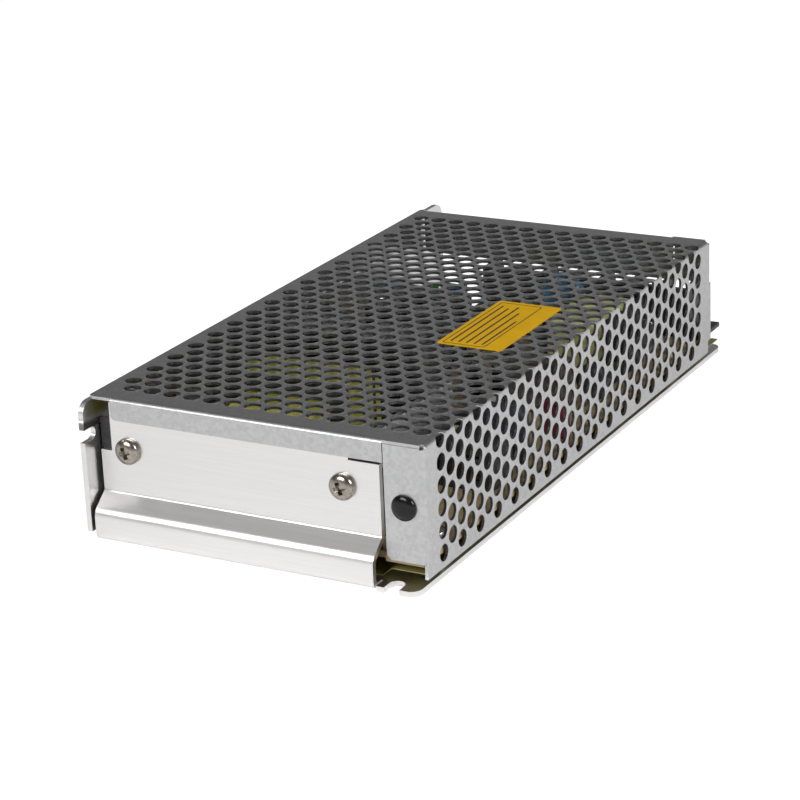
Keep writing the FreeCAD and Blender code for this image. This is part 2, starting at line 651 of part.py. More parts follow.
def make_film():
    """Insulating film on the base, raised along the perforated side."""
    low = CHASSIS_SHEET
    left = WALL_INNER + CHASSIS_BEND + FILM_LEFT_GAP
    ramp = RIGHT - FILM_RAMP_FROM_RIGHT
    y0 = NEAR + CHASSIS_SHEET + CHASSIS_BEND + FILM_NEAR_INSET
    path = [at(left, y0, low), at(ramp, y0, low),
            at(ramp + FILM_RAMP_WIDTH, y0, low + FILM_RISE),
            at(SIDE_INNER - FILM_SIDE_GAP, y0, low + FILM_RISE)]
    lift = Z_AXIS * FILM_THICKNESS
    outline = path + [point + lift for point in reversed(path)]
    film = prism(outline, Y_AXIS * (FAR - FILM_FAR_INSET - y0))
    cuts = []
    for x, y in standoff_places():
        cuts.append(hexagon(STANDOFF_FLATS + 2 * FILM_CLEARANCE, FILM_RISE + 1, at(x, y, low), Z_AXIS))
    return film.cut(group(cuts))


def make_board():
    """Circuit board with a tongue that reaches forward beside the end wall."""
    tongue = END_WALL_RIGHT + TAB_GAP
    tongue_near = COVER_NEAR + COVER_SHEET + BOARD_TONGUE_GAP
    outline = [at(BOARD_LEFT, BOARD_NEAR, BOARD_HEIGHT), at(tongue, BOARD_NEAR, BOARD_HEIGHT),
               at(tongue, tongue_near, BOARD_HEIGHT), at(BOARD_RIGHT, tongue_near, BOARD_HEIGHT),
               at(BOARD_RIGHT, BOARD_FAR, BOARD_HEIGHT), at(BOARD_LEFT, BOARD_FAR, BOARD_HEIGHT)]
    holes = [ring(at(x, y, BOARD_HEIGHT), BOARD_HOLE / 2, SCREW_SIDES, Z_AXIS)
             for x, y in standoff_places()]
    return sheet_with_holes(outline, holes, Z_AXIS * BOARD_THICKNESS)


def make_standoffs():
    """Hexagonal standoffs with a shank pressed into the base and a threaded bore."""
    pieces = []
    for x, y in standoff_places():
        body = hexagon(STANDOFF_FLATS, BOARD_HEIGHT - CHASSIS_SHEET, at(x, y, CHASSIS_SHEET), Z_AXIS)
        shank = bar(RIVET_DIAMETER, CHASSIS_SHEET, SMALL_SIDES, at(x, y, 0), Z_AXIS)
        bore = bar(SCREW_M3, BOARD_HEIGHT, SCREW_SIDES, at(x, y, 0), Z_AXIS)
        pieces.append(body.fuse(shank).cut(bore))
    return group(pieces)


def make_board_screws():
    pieces = []
    for x, y in standoff_places():
        profile = [(SCREW_M3 / 2, -BOARD_SCREW_LENGTH), (SCREW_M3 / 2, 0), (BOARD_HEAD / 2, 0),
                   (0.8 * BOARD_HEAD / 2, BOARD_HEAD_HEIGHT)]
        pieces.append(turned(profile, SCREW_SIDES, at(x, y, BOARD_TOP), Z_AXIS))
    return group(pieces)


def wall_device_x():
    return LEFT + LEFT_SCREW_X * WIDTH_SHARE, LEFT + RIGHT_SCREW_X * WIDTH_SHARE


def make_wall_device(x):
    """Power package with its screw hole and three legs."""
    face = END_WALL_INNER + PAD_THICKNESS
    back = face + DEVICE_THICKNESS
    half = DEVICE_WIDTH / 2
    package = box(x - half, x + half, face, back, DEVICE_FOOT, DEVICE_TOP)
    lip = box(x - half, x + half, face + DEVICE_THICKNESS / 2, back,
              DEVICE_TOP - DEVICE_LIP, DEVICE_TOP)
    hole = bar(DEVICE_HOLE, DEVICE_THICKNESS, SMALL_SIDES, at(x, face, WALL_SCREW_HEIGHT), Y_AXIS)
    pieces = [package.cut(group([lip, hole]))]
    leg_face = face + DEVICE_THICKNESS / 2
    for k in (-1, 0, 1):
        leg_x = x + k * DEVICE_LEG_PITCH
        pieces.append(box(leg_x - DEVICE_LEG / 2, leg_x + DEVICE_LEG / 2, leg_face,
                          leg_face + LEG_THICKNESS, BOARD_TOP, DEVICE_FOOT))
    return joined(pieces)


def make_pads():
    pieces = []
    for x in wall_device_x():
        half = DEVICE_WIDTH / 2 + PAD_BORDER
        left = max(x - half, WALL_INNER + END_WALL_GAP)
        pad = box(left, x + half, END_WALL_INNER, END_WALL_INNER + PAD_THICKNESS,
                  DEVICE_FOOT - PAD_BORDER, DEVICE_TOP + PAD_BORDER)
        hole = bar(DEVICE_HOLE, PAD_THICKNESS, SMALL_SIDES,
                   at(x, END_WALL_INNER, WALL_SCREW_HEIGHT), Y_AXIS)
        pieces.append(pad.cut(hole))
    return group(pieces)


def screw_reach():
    """Length of an end wall screw under its head."""
    return CHASSIS_SHEET + PAD_THICKNESS + DEVICE_THICKNESS + NUT_HEIGHT


def make_wall_screws():
    pieces = []
    for x in wall_device_x():
        radius = WALL_HEAD / 2
        profile = [(SCREW_M3 / 2, screw_reach()), (SCREW_M3 / 2, 0), (radius, 0),
                   (radius, -0.3 * WALL_HEAD_HEIGHT), (0.86 * radius, -0.72 * WALL_HEAD_HEIGHT),
                   (0.5 * radius, -WALL_HEAD_HEIGHT)]
        pieces.append(turned(profile, SMALL_SIDES, at(x, END_WALL_OUTER, WALL_SCREW_HEIGHT), Y_AXIS))
    return group(pieces)


def make_nuts():
    pieces = []
    for x in wall_device_x():
        start = at(x, END_WALL_OUTER + screw_reach() - NUT_HEIGHT, WALL_SCREW_HEIGHT)
        nut = hexagon(NUT_FLATS, NUT_HEIGHT, start, Y_AXIS)
        pieces.append(nut.cut(bar(SCREW_M3, NUT_HEIGHT, SMALL_SIDES, start, Y_AXIS)))
    return group(pieces)


def small_device_ys():
    middle = NEAR + SMALL_DEVICES_Y
    return middle - SMALL_DEVICE_PITCH / 2, middle + SMALL_DEVICE_PITCH / 2


def make_small_device(y):
    """Switching transistor that stands against the left wall."""
    face = WALL_INNER + PAD_THICKNESS
    half = SMALL_DEVICE_WIDTH / 2
    split = SMALL_DEVICE_TOP - SMALL_DEVICE_TAB
    pieces = [box(face, face + SMALL_DEVICE_THICKNESS, y - half, y + half, SMALL_DEVICE_FOOT, split),
              box(face, face + TAB_THICKNESS, y - half, y + half, split, SMALL_DEVICE_TOP)]
    leg_face = face + SMALL_DEVICE_THICKNESS / 2
    for k in (-1, 0, 1):
        leg_y = y + k * LEG_PITCH
        pieces.append(box(leg_face, leg_face + LEG_THICKNESS, leg_y - LEG_WIDTH / 2,
                          leg_y + LEG_WIDTH / 2, BOARD_TOP, SMALL_DEVICE_FOOT))
    return joined(pieces)


def clamp_face():
    return WALL_INNER + PAD_THICKNESS + SMALL_DEVICE_THICKNESS


def make_side_pad():
    low, high = small_device_ys()
    border = SMALL_DEVICE_WIDTH / 2 + PAD_BORDER
    pad = box(WALL_INNER, WALL_INNER + PAD_THICKNESS, low - border, high + border,
              SMALL_DEVICE_FOOT - PAD_BORDER, SMALL_DEVICE_TOP + PAD_BORDER)
    hole = bar(DEVICE_HOLE, PAD_THICKNESS, SMALL_SIDES,
               at(WALL_INNER, NEAR + SMALL_DEVICES_Y, CLAMP_CENTRE), X_AXIS)
    return pad.cut(hole)


def make_clamp():
    """Steel bar that presses both switching transistors to the wall."""
    low, high = small_device_ys()
    reach = SMALL_DEVICE_WIDTH / 2
    face = clamp_face()
    body = box(face, face + CLAMP_THICKNESS, low - reach, high + reach,
               CLAMP_CENTRE - CLAMP_HEIGHT / 2, CLAMP_CENTRE + CLAMP_HEIGHT / 2)
    hole = bar(SCREW_M3, CLAMP_THICKNESS, SMALL_SIDES,
               at(face, NEAR + SMALL_DEVICES_Y, CLAMP_CENTRE), X_AXIS)
    return body.cut(hole)


def make_clamp_screw():
    face = clamp_face() + CLAMP_THICKNESS
    profile = [(SCREW_M3 / 2, LEFT - face), (SCREW_M3 / 2, 0), (CLAMP_HEAD / 2, 0),
               (0.8 * CLAMP_HEAD / 2, CLAMP_HEAD_HEIGHT)]
    return turned(profile, SMALL_SIDES, at(face, NEAR + SMALL_DEVICES_Y, CLAMP_CENTRE), X_AXIS)


def on_board(place):
    return BOARD_LEFT + place[0] * WIDTH_SHARE, BOARD_NEAR + place[1] * LENGTH_SHARE


def spread(size):
    """Plan size of a board part, which follows the board; its height stays."""
    return size[0] * WIDTH_SHARE, size[1] * LENGTH_SHARE, size[2]


def centred_box(x, y, size, z0):
    width, length, height = spread(size)
    return box(x - width / 2, x + width / 2, y - length / 2, y + length / 2, z0, z0 + height)


def transformer_levels():
    """Heights of the underside of the core, of the coil and of the centre leg."""
    core = BOARD_TOP + TRANSFORMER_STAND
    coil = core + TRANSFORMER_YOKE + COIL_GAP
    leg = coil + (TRANSFORMER_COIL[2] - TRANSFORMER_LEG[1]) / 2
    return core, coil, leg


def make_transformer_core():
    """Ferrite core: a centre leg inside the coil and a frame over, under and at its ends."""
    x, y = on_board(TRANSFORMER_PLACE)
    core, coil, leg = transformer_levels()
    window = (TRANSFORMER_COIL[0] + 2 * COIL_GAP, TRANSFORMER_LEG[0],
              TRANSFORMER_COIL[2] + 2 * COIL_GAP)
    outside = (window[0] + 2 * TRANSFORMER_YOKE, window[1], window[2] + 2 * TRANSFORMER_YOKE)
    frame = centred_box(x, y, outside, core).cut(centred_box(x, y, window, coil - COIL_GAP))
    centre = centred_box(x, y, (window[0], TRANSFORMER_LEG[0], TRANSFORMER_LEG[1]), leg)
    return joined([frame, centre])


def soft_block(x, y, size, z0, chamfer):
    """Box with its four edges along X chamfered, as tape lies round a coil."""
    width, length, height = spread(size)
    y0, y1 = y - length / 2, y + length / 2
    z1 = z0 + height
    start = x - width / 2
    outline = [at(start, y0 + chamfer, z0), at(start, y1 - chamfer, z0), at(start, y1, z0 + chamfer),
               at(start, y1, z1 - chamfer), at(start, y1 - chamfer, z1), at(start, y0 + chamfer, z1),
               at(start, y0, z1 - chamfer), at(start, y0, z0 + chamfer)]
    return prism(outline, X_AXIS * width)


def make_transformer_coil():
    x, y = on_board(TRANSFORMER_PLACE)
    core, coil, leg = transformer_levels()
    block = soft_block(x, y, TRANSFORMER_COIL, coil, COIL_CHAMFER)
    hole = centred_box(x, y, (TRANSFORMER_COIL[0], TRANSFORMER_LEG[0], TRANSFORMER_LEG[1]), leg)
    return block.cut(hole)


def make_transformer_bobbin():
    """Two pin strips that carry the coil on the board, beside the core."""
    x, y = on_board(TRANSFORMER_PLACE)
    coil = transformer_levels()[1]
    strips = []
    reach = (TRANSFORMER_LEG[0] / 2 + TRANSFORMER_COIL[1] / 2) / 2
    width = (TRANSFORMER_COIL[1] - TRANSFORMER_LEG[0]) / 2 - 2 * STRIP_INSET
    for side in (-1, 1):
        strips.append(centred_box(x, y + side * reach * LENGTH_SHARE,
                                  (TRANSFORMER_COIL[0], width, coil - BOARD_TOP), BOARD_TOP))
    return group(strips)


def make_can(place, diameter, height, sides):
    """Capacitor with a bead near its foot and a rolled top edge."""
    x, y = on_board(place)
    radius = diameter / 2 * ROUND_SHARE
    profile = [(radius, 0), (radius, 2 * CAN_RIM), (radius - CAN_RIM / 2, 3 * CAN_RIM),
               (radius, 4 * CAN_RIM), (radius, height - CAN_RIM), (radius - CAN_RIM, height)]
    return turned(profile, sides, at(x, y, BOARD_TOP), Z_AXIS)


def make_plain_can(place, diameter, height, sides):
    x, y = on_board(place)
    radius = diameter / 2 * ROUND_SHARE
    profile = [(radius, 0), (radius, height - CAN_RIM), (radius - CAN_RIM, height)]
    return turned(profile, sides, at(x, y, BOARD_TOP), Z_AXIS)


def make_toroid():
    x, y = on_board(TOROID_PLACE)
    outer = TOROID_DIAMETER / 2 * ROUND_SHARE
    body = turned([(outer - TOROID_CHAMFER, 0), (outer, TOROID_CHAMFER),
                   (outer, TOROID_HEIGHT - TOROID_CHAMFER),
                   (outer - TOROID_CHAMFER, TOROID_HEIGHT)],
                  ROUND_SIDES, at(x, y, BOARD_TOP), Z_AXIS)
    return body.cut(bar(TOROID_HOLE * ROUND_SHARE, TOROID_HEIGHT, SMALL_SIDES, at(x, y, BOARD_TOP), Z_AXIS))


def make_heatsink():
    """Upright aluminium plate with a foot on the board."""
    x, y = on_board(HEATSINK_PLACE)
    half = HEATSINK_LENGTH / 2 * LENGTH_SHARE
    plate = box(x, x + HEATSINK_PLATE, y - half, y + half, BOARD_TOP, BOARD_TOP + HEATSINK_HEIGHT)
    foot = box(x - HEATSINK_FOOT, x, y - half, y + half,
               BOARD_TOP, BOARD_TOP + HEATSINK_PLATE)
    return joined([plate, foot])


def make_driver_core():
    x, y = on_board(DRIVER_PLACE)
    inner = (DRIVER_SIZE[0] - 2 * DRIVER_YOKE, DRIVER_SIZE[1], DRIVER_SIZE[2] - 2 * DRIVER_YOKE)
    frame = centred_box(x, y, DRIVER_SIZE, BOARD_TOP)
    return frame.cut(centred_box(x, y, inner, BOARD_TOP + DRIVER_YOKE))


def make_driver_coil():
    x, y = on_board(DRIVER_PLACE)
    size = (DRIVER_SIZE[0] - 2 * DRIVER_YOKE, DRIVER_SIZE[1] + 2 * DRIVER_PROUD,
            DRIVER_SIZE[2] - 2 * DRIVER_YOKE)
    return soft_block(x, y, size, BOARD_TOP + DRIVER_YOKE, DRIVER_PROUD)


def make_bridge():
    """Flat bridge rectifier on four legs, one corner cut."""
    x, y = on_board(BRIDGE_PLACE)
    width, thickness, height = spread(BRIDGE_SIZE)
    half = width / 2
    foot = BOARD_TOP + BRIDGE_STAND
    top = foot + height
    start = y - thickness / 2
    outline = [at(x - half, start, foot), at(x + half, start, foot),
               at(x + half, start, top - BRIDGE_CORNER), at(x + half - BRIDGE_CORNER, start, top),
               at(x - half, start, top)]
    pieces = [prism(outline, Y_AXIS * thickness)]
    for k in range(4):
        leg_x = x + (k - 1.5) * BRIDGE_PITCH * WIDTH_SHARE
        pieces.append(centred_box(leg_x, y, (WIRE, WIRE, BRIDGE_STAND), BOARD_TOP))
    return joined(pieces)


def make_block_cap(place, size):
    x, y = on_board(place)
    return centred_box(x, y, size, BOARD_TOP)


def make_disc(place, diameter, thickness, stand=DISC_STAND):
    """Disc part that stands on two wires, its flat faces along Y."""
    x, y = on_board(place)
    radius = diameter / 2 * ROUND_SHARE
    thickness = thickness * LENGTH_SHARE
    centre_z = BOARD_TOP + stand + radius
    edge = DISC_EDGE * thickness
    profile = [(radius - edge, 0), (radius, edge), (radius, thickness - edge),
               (radius - edge, thickness)]
    pieces = [turned(profile, SMALL_SIDES, at(x, y - thickness / 2, centre_z), Y_AXIS)]
    for side in (-1, 1):
        leg = centred_box(x + side * radius / 2, y, (WIRE, WIRE, stand + radius / 2), BOARD_TOP)
        pieces.append(leg)
    return joined(pieces)


def choke_leg_ys():
    y = on_board(CHOKE_PLACE)[1]
    shift = (CHOKE_COIL[1] + CHOKE_GAP) / 2 * LENGTH_SHARE
    return y - shift, y + shift


def choke_leg_box(y, length):
    x = on_board(CHOKE_PLACE)[0]
    z0 = BOARD_TOP + (CHOKE_COIL[2] - CHOKE_LEG[1]) / 2
    return centred_box(x, y, (length, CHOKE_LEG[0], CHOKE_LEG[1]), z0)


def make_choke_core():
    """Ferrite frame that passes through both coils."""
    x, y = on_board(CHOKE_PLACE)
    near_leg, far_leg = choke_leg_ys()
    inside = CHOKE_COIL[0] + 2 * COIL_GAP
    length = inside + 2 * CHOKE_LEG[0]
    z0 = BOARD_TOP + (CHOKE_COIL[2] - CHOKE_LEG[1]) / 2
    pieces = [choke_leg_box(near_leg, length), choke_leg_box(far_leg, length)]
    for side in (-1, 1):
        yoke_x = x + side * (inside + CHOKE_LEG[0]) / 2 * WIDTH_SHARE
        pieces.append(centred_box(yoke_x, y, (CHOKE_LEG[0], CHOKE_COIL[1] + CHOKE_GAP,
                                              CHOKE_LEG[1]), z0))
    return joined(pieces)


def make_choke_coils():
    x = on_board(CHOKE_PLACE)[0]
    coils = []
    for y in choke_leg_ys():
        block = soft_block(x, y, CHOKE_COIL, BOARD_TOP, CHOKE_CHAMFER)
        coils.append(block.cut(choke_leg_box(y, CHOKE_COIL[0])))
    return group(coils)


def fuse_length():
    return FUSE_LENGTH * LENGTH_SHARE


def fuse_start():
    x, y = on_board(FUSE_PLACE)
    return at(x, y - fuse_length() / 2, BOARD_TOP + FUSE_STAND + FUSE_DIAMETER / 2)


def make_fuse_glass():
    start = fuse_start() + Y_AXIS * FUSE_CAP
    return bar(FUSE_GLASS, fuse_length() - 2 * FUSE_CAP, SMALL_SIDES, start, Y_AXIS)


def make_fuse_caps():
    start = fuse_start()
    return group([bar(FUSE_DIAMETER, FUSE_CAP, SMALL_SIDES, start, Y_AXIS),
                  bar(FUSE_DIAMETER, FUSE_CAP, SMALL_SIDES,
                      start + Y_AXIS * (fuse_length() - FUSE_CAP), Y_AXIS)])


def make_fuse_clips():
    """Spring clips that hold the fuse caps from both sides."""
    x = on_board(FUSE_PLACE)[0]
    start = fuse_start()
    inner = FUSE_DIAMETER / 2 + CLIP_GAP
    outer = inner + CLIP_SHEET
    top = start.z + FUSE_DIAMETER / 2
    floor = start.z - inner
    clips = []
    for first in (start.y + CLIP_INSET, start.y + fuse_length() - FUSE_CAP + CLIP_INSET):
        outline = [at(x - outer, first, BOARD_TOP), at(x + outer, first, BOARD_TOP),
                   at(x + outer, first, top), at(x + inner, first, top),
                   at(x + inner, first, floor), at(x - inner, first, floor),
                   at(x - inner, first, top), at(x - outer, first, top)]
        clips.append(prism(outline, Y_AXIS * (FUSE_CAP - 2 * CLIP_INSET)))
    return group(clips)


def make_chip(place, size, pins):
    """Dual in-line package with short legs down both sides."""
    x, y = on_board(place)
    body = centred_box(x, y, size, BOARD_TOP + CHIP_STAND)
    pieces = [body]
    height = CHIP_STAND + size[2] / 2
    for k in range(pins):
        leg_y = y + (k - (pins - 1) / 2) * LEG_PITCH * LENGTH_SHARE
        for side in (-1, 1):
            leg_x = x + side * (size[0] / 2 + WIRE / 4) * WIDTH_SHARE
            pieces.append(centred_box(leg_x, leg_y, (WIRE / 2, WIRE, height), BOARD_TOP))
    return joined(pieces)


def make_resistors():
    """Axial resistors, each with its two bent wires."""
    pieces = []
    for place in RESISTOR_PLACES:
        x, y = on_board(place)
        z = BOARD_TOP + RESISTOR_DIAMETER / 2
        length = RESISTOR_LENGTH * WIDTH_SHARE
        body = bar(RESISTOR_DIAMETER, length, SCREW_SIDES, at(x - length / 2, y, z), X_AXIS)
        half = RESISTOR_SPAN / 2 * WIDTH_SHARE
        wire = box(x - half, x + half, y - WIRE / 2, y + WIRE / 2, z - WIRE / 2, z + WIRE / 2)
        drops = [box(x - half, x - half + WIRE, y - WIRE / 2, y + WIRE / 2, BOARD_TOP, z),
                 box(x + half - WIRE, x + half, y - WIRE / 2, y + WIRE / 2, BOARD_TOP, z)]
        pieces.append(joined([body, wire] + drops))
    return group(pieces)


def make_lamp():
    """Indicator lamp on two wires."""
    x = BOARD_LEFT + LAMP_PLACE[0] * WIDTH_SHARE
    y = BOARD_FAR - LAMP_PLACE[1] * LENGTH_SHARE
    radius = LAMP_DIAMETER / 2
    foot = LAMP_STAND
    profile = [(LAMP_FLANGE / 2, foot), (LAMP_FLANGE / 2, foot + LAMP_RIM),
               (radius, foot + LAMP_RIM), (radius, foot + LAMP_HEIGHT - radius),
               (0.6 * radius, foot + LAMP_HEIGHT)]
    pieces = [turned(profile, SMALL_SIDES, at(x, y, BOARD_TOP), Z_AXIS)]
    for side in (-1, 1):
        pieces.append(centred_box(x + side * radius / 2, y, (WIRE, WIRE, LAMP_STAND), BOARD_TOP))
    return joined(pieces)


def block_place():
    """Ends of the terminal block's ways and its near and far faces."""
    right = RIGHT - EAR_FROM_RIGHT - EAR_WIDTH
    left = right - WAYS * TERMINAL_PITCH - BARRIER
    far = FAR - BLOCK_FAR_INSET
    return left, right, far - BLOCK_DEPTH, far


def way_centres():
    left = block_place()[0]
    return [left + BARRIER / 2 + (k + 0.5) * TERMINAL_PITCH for k in range(WAYS)]


def plate_span():
    """Near and far edges of the terminal plates."""
    near, far = block_place()[2:]
    return near + BLOCK_BACK + PLATE_BACK_GAP, far - BARRIER_NOSE / 2


def terminal_screw_y():
    near, far = plate_span()
    return (near + far) / 2


def make_terminal_block():
    """Barrier block: floor with ears, shelf, back wall and sloping barriers."""
    left, right, near, far = block_place()
    z0 = BOARD_TOP
    top = z0 + BLOCK_HEIGHT
    shelf = z0 + BLOCK_SHELF
    pieces = [box(left - EAR_WIDTH, right + EAR_WIDTH, near, far, z0, z0 + BLOCK_FLOOR),
              box(left, right, near, far - BARRIER_NOSE / 2, z0, shelf),
              box(left, right, near, near + BLOCK_BACK, z0, top)]
    for k in range(WAYS + 1):
        x = left + k * TERMINAL_PITCH
        outline = [at(x, near, z0), at(x, far, z0), at(x, far, shelf),
                   at(x, far - BARRIER_NOSE, top), at(x, near, top)]
        pieces.append(prism(outline, X_AXIS * BARRIER))
    holes = []
    for x in way_centres():
        holes.append(bar(TERMINAL_SHANK, TERMINAL_BITE, SCREW_SIDES,
                         at(x, terminal_screw_y(), shelf - TERMINAL_BITE), Z_AXIS))
    return joined(pieces).cut(group(holes))


def plate_level():
    return BOARD_TOP + BLOCK_SHELF


def make_terminal_plates():
    near, far = plate_span()
    width = TERMINAL_PITCH - BARRIER - 2 * PLATE_SIDE_GAP
    pieces = []
    for x in way_centres():
        plate = box(x - width / 2, x + width / 2, near, far, plate_level(),
                    plate_level() + PLATE_THICKNESS)
        pieces.append(plate.cut(bar(TERMINAL_SHANK, PLATE_THICKNESS, SCREW_SIDES,
                                    at(x, terminal_screw_y(), plate_level()), Z_AXIS)))
    return group(pieces)


def make_terminal_washers():
    level = plate_level() + PLATE_THICKNESS
    pieces = []
    for x in way_centres():
        washer = centred_box(x, terminal_screw_y(), (WASHER_SIZE, WASHER_SIZE, WASHER_THICKNESS), level)
        pieces.append(washer.cut(bar(TERMINAL_SHANK, WASHER_THICKNESS, SCREW_SIDES,
                                     at(x, terminal_screw_y(), level), Z_AXIS)))
    return group(pieces)


def make_terminal_screws():
    seat = plate_level() + PLATE_THICKNESS + WASHER_THICKNESS
    pieces = []
    for x in way_centres():
        radius = TERMINAL_HEAD / 2
        reach = WASHER_THICKNESS + PLATE_THICKNESS + TERMINAL_BITE
        profile = [(TERMINAL_SHANK / 2, -reach), (TERMINAL_SHANK / 2, 0), (radius, 0),
                   (radius, 0.6 * TERMINAL_HEAD_HEIGHT), (0.75 * radius, TERMINAL_HEAD_HEIGHT)]
        pieces.append(turned(profile, SCREW_SIDES, at(x, terminal_screw_y(), seat), Z_AXIS))
    return group(pieces)


def trimmer_place():
    """Rotor axis and the trimmer's face towards the terminal end."""
    x = LEFT + TRIMMER_FROM_LEFT * WIDTH_SHARE
    return x, BOARD_FAR - TRIMMER_FAR_INSET, BOARD_TOP + TRIMMER_HEIGHT / 2


def make_trimmer_body():
    x, face, z = trimmer_place()
    body = box(x - TRIMMER_WIDTH / 2, x + TRIMMER_WIDTH / 2, face - TRIMMER_DEPTH, face,
               BOARD_TOP, BOARD_TOP + TRIMMER_HEIGHT)
    depth = ROTOR_LENGTH - ROTOR_PROUD + ROTOR_CLEARANCE
    return body.cut(Part.makeCylinder(ROTOR_DIAMETER / 2 + ROTOR_CLEARANCE, depth,
                                      at(x, face - depth, z), Y_AXIS))


def make_trimmer_rotor():
    """Slotted rotor that turns in the trimmer's round well."""
    x, face, z = trimmer_place()
    start = face + ROTOR_PROUD - ROTOR_LENGTH
    rotor = Part.makeCylinder(ROTOR_DIAMETER / 2, ROTOR_LENGTH, at(x, start, z), Y_AXIS)
    outer = face + ROTOR_PROUD
    slot = box(x - ROTOR_SLOT / 2, x + ROTOR_SLOT / 2, outer - ROTOR_SLOT_DEPTH, outer,
               z - ROTOR_DIAMETER / 2, z + ROTOR_DIAMETER / 2)
    return rotor.cut(slot)


def make_sticker():
    right = SIDE_OUTER - STICKER_FROM_SIDE
    left = right - STICKER_WIDTH
    near = COVER_NEAR + STICKER_FROM_NEAR
    far = near + STICKER_LENGTH
    cut = STICKER_CORNER
    z = CASE_HEIGHT
    outline = [at(left + cut, near, z), at(right - cut, near, z), at(right, near + cut, z),
               at(right, far - cut, z), at(right - cut, far, z), at(left + cut, far, z),
               at(left, far - cut, z), at(left, near + cut, z)]
    return prism(outline, Z_AXIS * STICKER_THICKNESS)


os.makedirs("parts", exist_ok=True)
shapes = {
    "chassis": make_chassis(),
    "mesh_cover": make_cover(),
    "cover_screws": make_cover_screws(),
    "flange_plug": make_plug(),
    "insulation_film": make_film(),
    "circuit_board": make_board(),
    "standoffs": make_standoffs(),
    "board_screws": make_board_screws(),
    "output_rectifier": make_wall_device(wall_device_x()[0]),
    "wall_transistor": make_wall_device(wall_device_x()[1]),
    "wall_pads": make_pads(),
    "end_wall_screws": make_wall_screws(),
    "clamp_nuts": make_nuts(),
    "switching_transistor_1": make_small_device(small_device_ys()[0]),
    "switching_transistor_2": make_small_device(small_device_ys()[1]),
    "side_pad": make_side_pad(),
    "clamp_bar": make_clamp(),
    "clamp_screw": make_clamp_screw(),
    "transformer_core": make_transformer_core(),
    "transformer_coil": make_transformer_coil(),
    "transformer_bobbin": make_transformer_bobbin(),
    "bulk_capacitor_1": make_can(BULK_PLACES[0], BULK_DIAMETER, BULK_HEIGHT, ROUND_SIDES),
    "bulk_capacitor_2": make_can(BULK_PLACES[1], BULK_DIAMETER, BULK_HEIGHT, ROUND_SIDES),
    "output_capacitors": group([make_plain_can(place, OUTPUT_DIAMETER, OUTPUT_HEIGHT, SMALL_SIDES)
                                for place in OUTPUT_PLACES]),
    "small_capacitors": group([make_plain_can(place, SMALL_DIAMETER, SMALL_HEIGHT, SCREW_SIDES)
                               for place in SMALL_PLACES]),
    "output_inductor": make_toroid(),
    "output_heatsink": make_heatsink(),
    "driver_core": make_driver_core(),
    "driver_coil": make_driver_coil(),
    "bridge_rectifier": make_bridge(),
    "film_capacitor": make_block_cap(FILM_CAP_PLACE, FILM_CAP_SIZE),
    "mains_capacitor": make_block_cap(X_CAP_PLACE, X_CAP_SIZE),
    "thermistor": make_disc(THERMISTOR_PLACE, THERMISTOR_DIAMETER, THERMISTOR_THICKNESS),
    "varistor": make_disc(VARISTOR_PLACE, VARISTOR_DIAMETER, VARISTOR_THICKNESS, VARISTOR_STAND),
    "safety_capacitor": make_disc(Y_CAP_PLACE, Y_CAP_DIAMETER, Y_CAP_THICKNESS),
    "choke_core": make_choke_core(),
    "choke_coils": make_choke_coils(),
    "fuse_glass": make_fuse_glass(),
    "fuse_caps": make_fuse_caps(),
    "fuse_clips": make_fuse_clips(),
    "control_chip": make_chip(CHIP_PLACE, CHIP_SIZE, CHIP_PINS),
    "optocoupler": make_chip(COUPLER_PLACE, COUPLER_SIZE, COUPLER_PINS),
    "resistors": make_resistors(),
    "indicator_lamp": make_lamp(),
    "terminal_block": make_terminal_block(),
    "terminal_plates": make_terminal_plates(),
    "terminal_washers": make_terminal_washers(),
    "terminal_screws": make_terminal_screws(),
    "trimmer_body": make_trimmer_body(),
    "trimmer_rotor": make_trimmer_rotor(),
    "top_sticker": make_sticker(),
}
for name, shape in shapes.items():
    shape.exportStep("parts/" + name + ".step")
    print(name, shape.isValid(), len(shape.Solids), round(shape.Volume, 1))
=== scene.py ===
from math import atan2, copysign, cos, pi, radians, sin, sqrt, tan

import bmesh
import bpy
from mathutils import Matrix, Vector
from mathutils.geometry import tessellate_polygon


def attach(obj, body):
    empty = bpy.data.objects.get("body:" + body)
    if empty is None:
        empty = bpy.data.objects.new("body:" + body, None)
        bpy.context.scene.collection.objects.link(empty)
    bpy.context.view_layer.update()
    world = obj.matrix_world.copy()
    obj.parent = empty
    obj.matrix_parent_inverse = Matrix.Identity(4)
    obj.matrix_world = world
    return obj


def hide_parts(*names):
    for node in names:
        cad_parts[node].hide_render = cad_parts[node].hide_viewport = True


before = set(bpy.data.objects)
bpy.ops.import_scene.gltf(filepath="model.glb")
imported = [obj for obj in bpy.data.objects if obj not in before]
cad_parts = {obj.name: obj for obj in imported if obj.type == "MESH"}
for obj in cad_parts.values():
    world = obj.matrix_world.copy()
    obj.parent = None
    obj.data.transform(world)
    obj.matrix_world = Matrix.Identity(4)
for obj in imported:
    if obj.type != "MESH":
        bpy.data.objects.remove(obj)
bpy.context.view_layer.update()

# Lengths are millimetres in the part's own frame until a mesh is made.
MM = 0.001

# Case
LEFT, RIGHT = -48.3, 48.3
NEAR, FAR = -99.5, 99.5
TOP = 38.0
TRAY_SHEET = 1.5
TRAY_FOLD = 2.3                # outer radius of the tray's folds
WALL_TOP = 37.2
WALL_INNER = LEFT + TRAY_SHEET

# Cover
COVER_SHEET = 0.8
COVER_FOLD = 1.2               # outer radius of the cover's folds
FOLD_LENGTH = COVER_FOLD * pi / 2
COVER_LEFT = -47.9
SIDE = 48.3
COVER_NEAR = -95.0
COVER_FAR = 87.7
SIDE_FAR = 88.6
SIDE_FOOT = 3.3
FLANGE_FOOT = 7.0
SEAM = 37.1
FAR_FOOT = 24.7

scene = bpy.context.scene


# Shapes

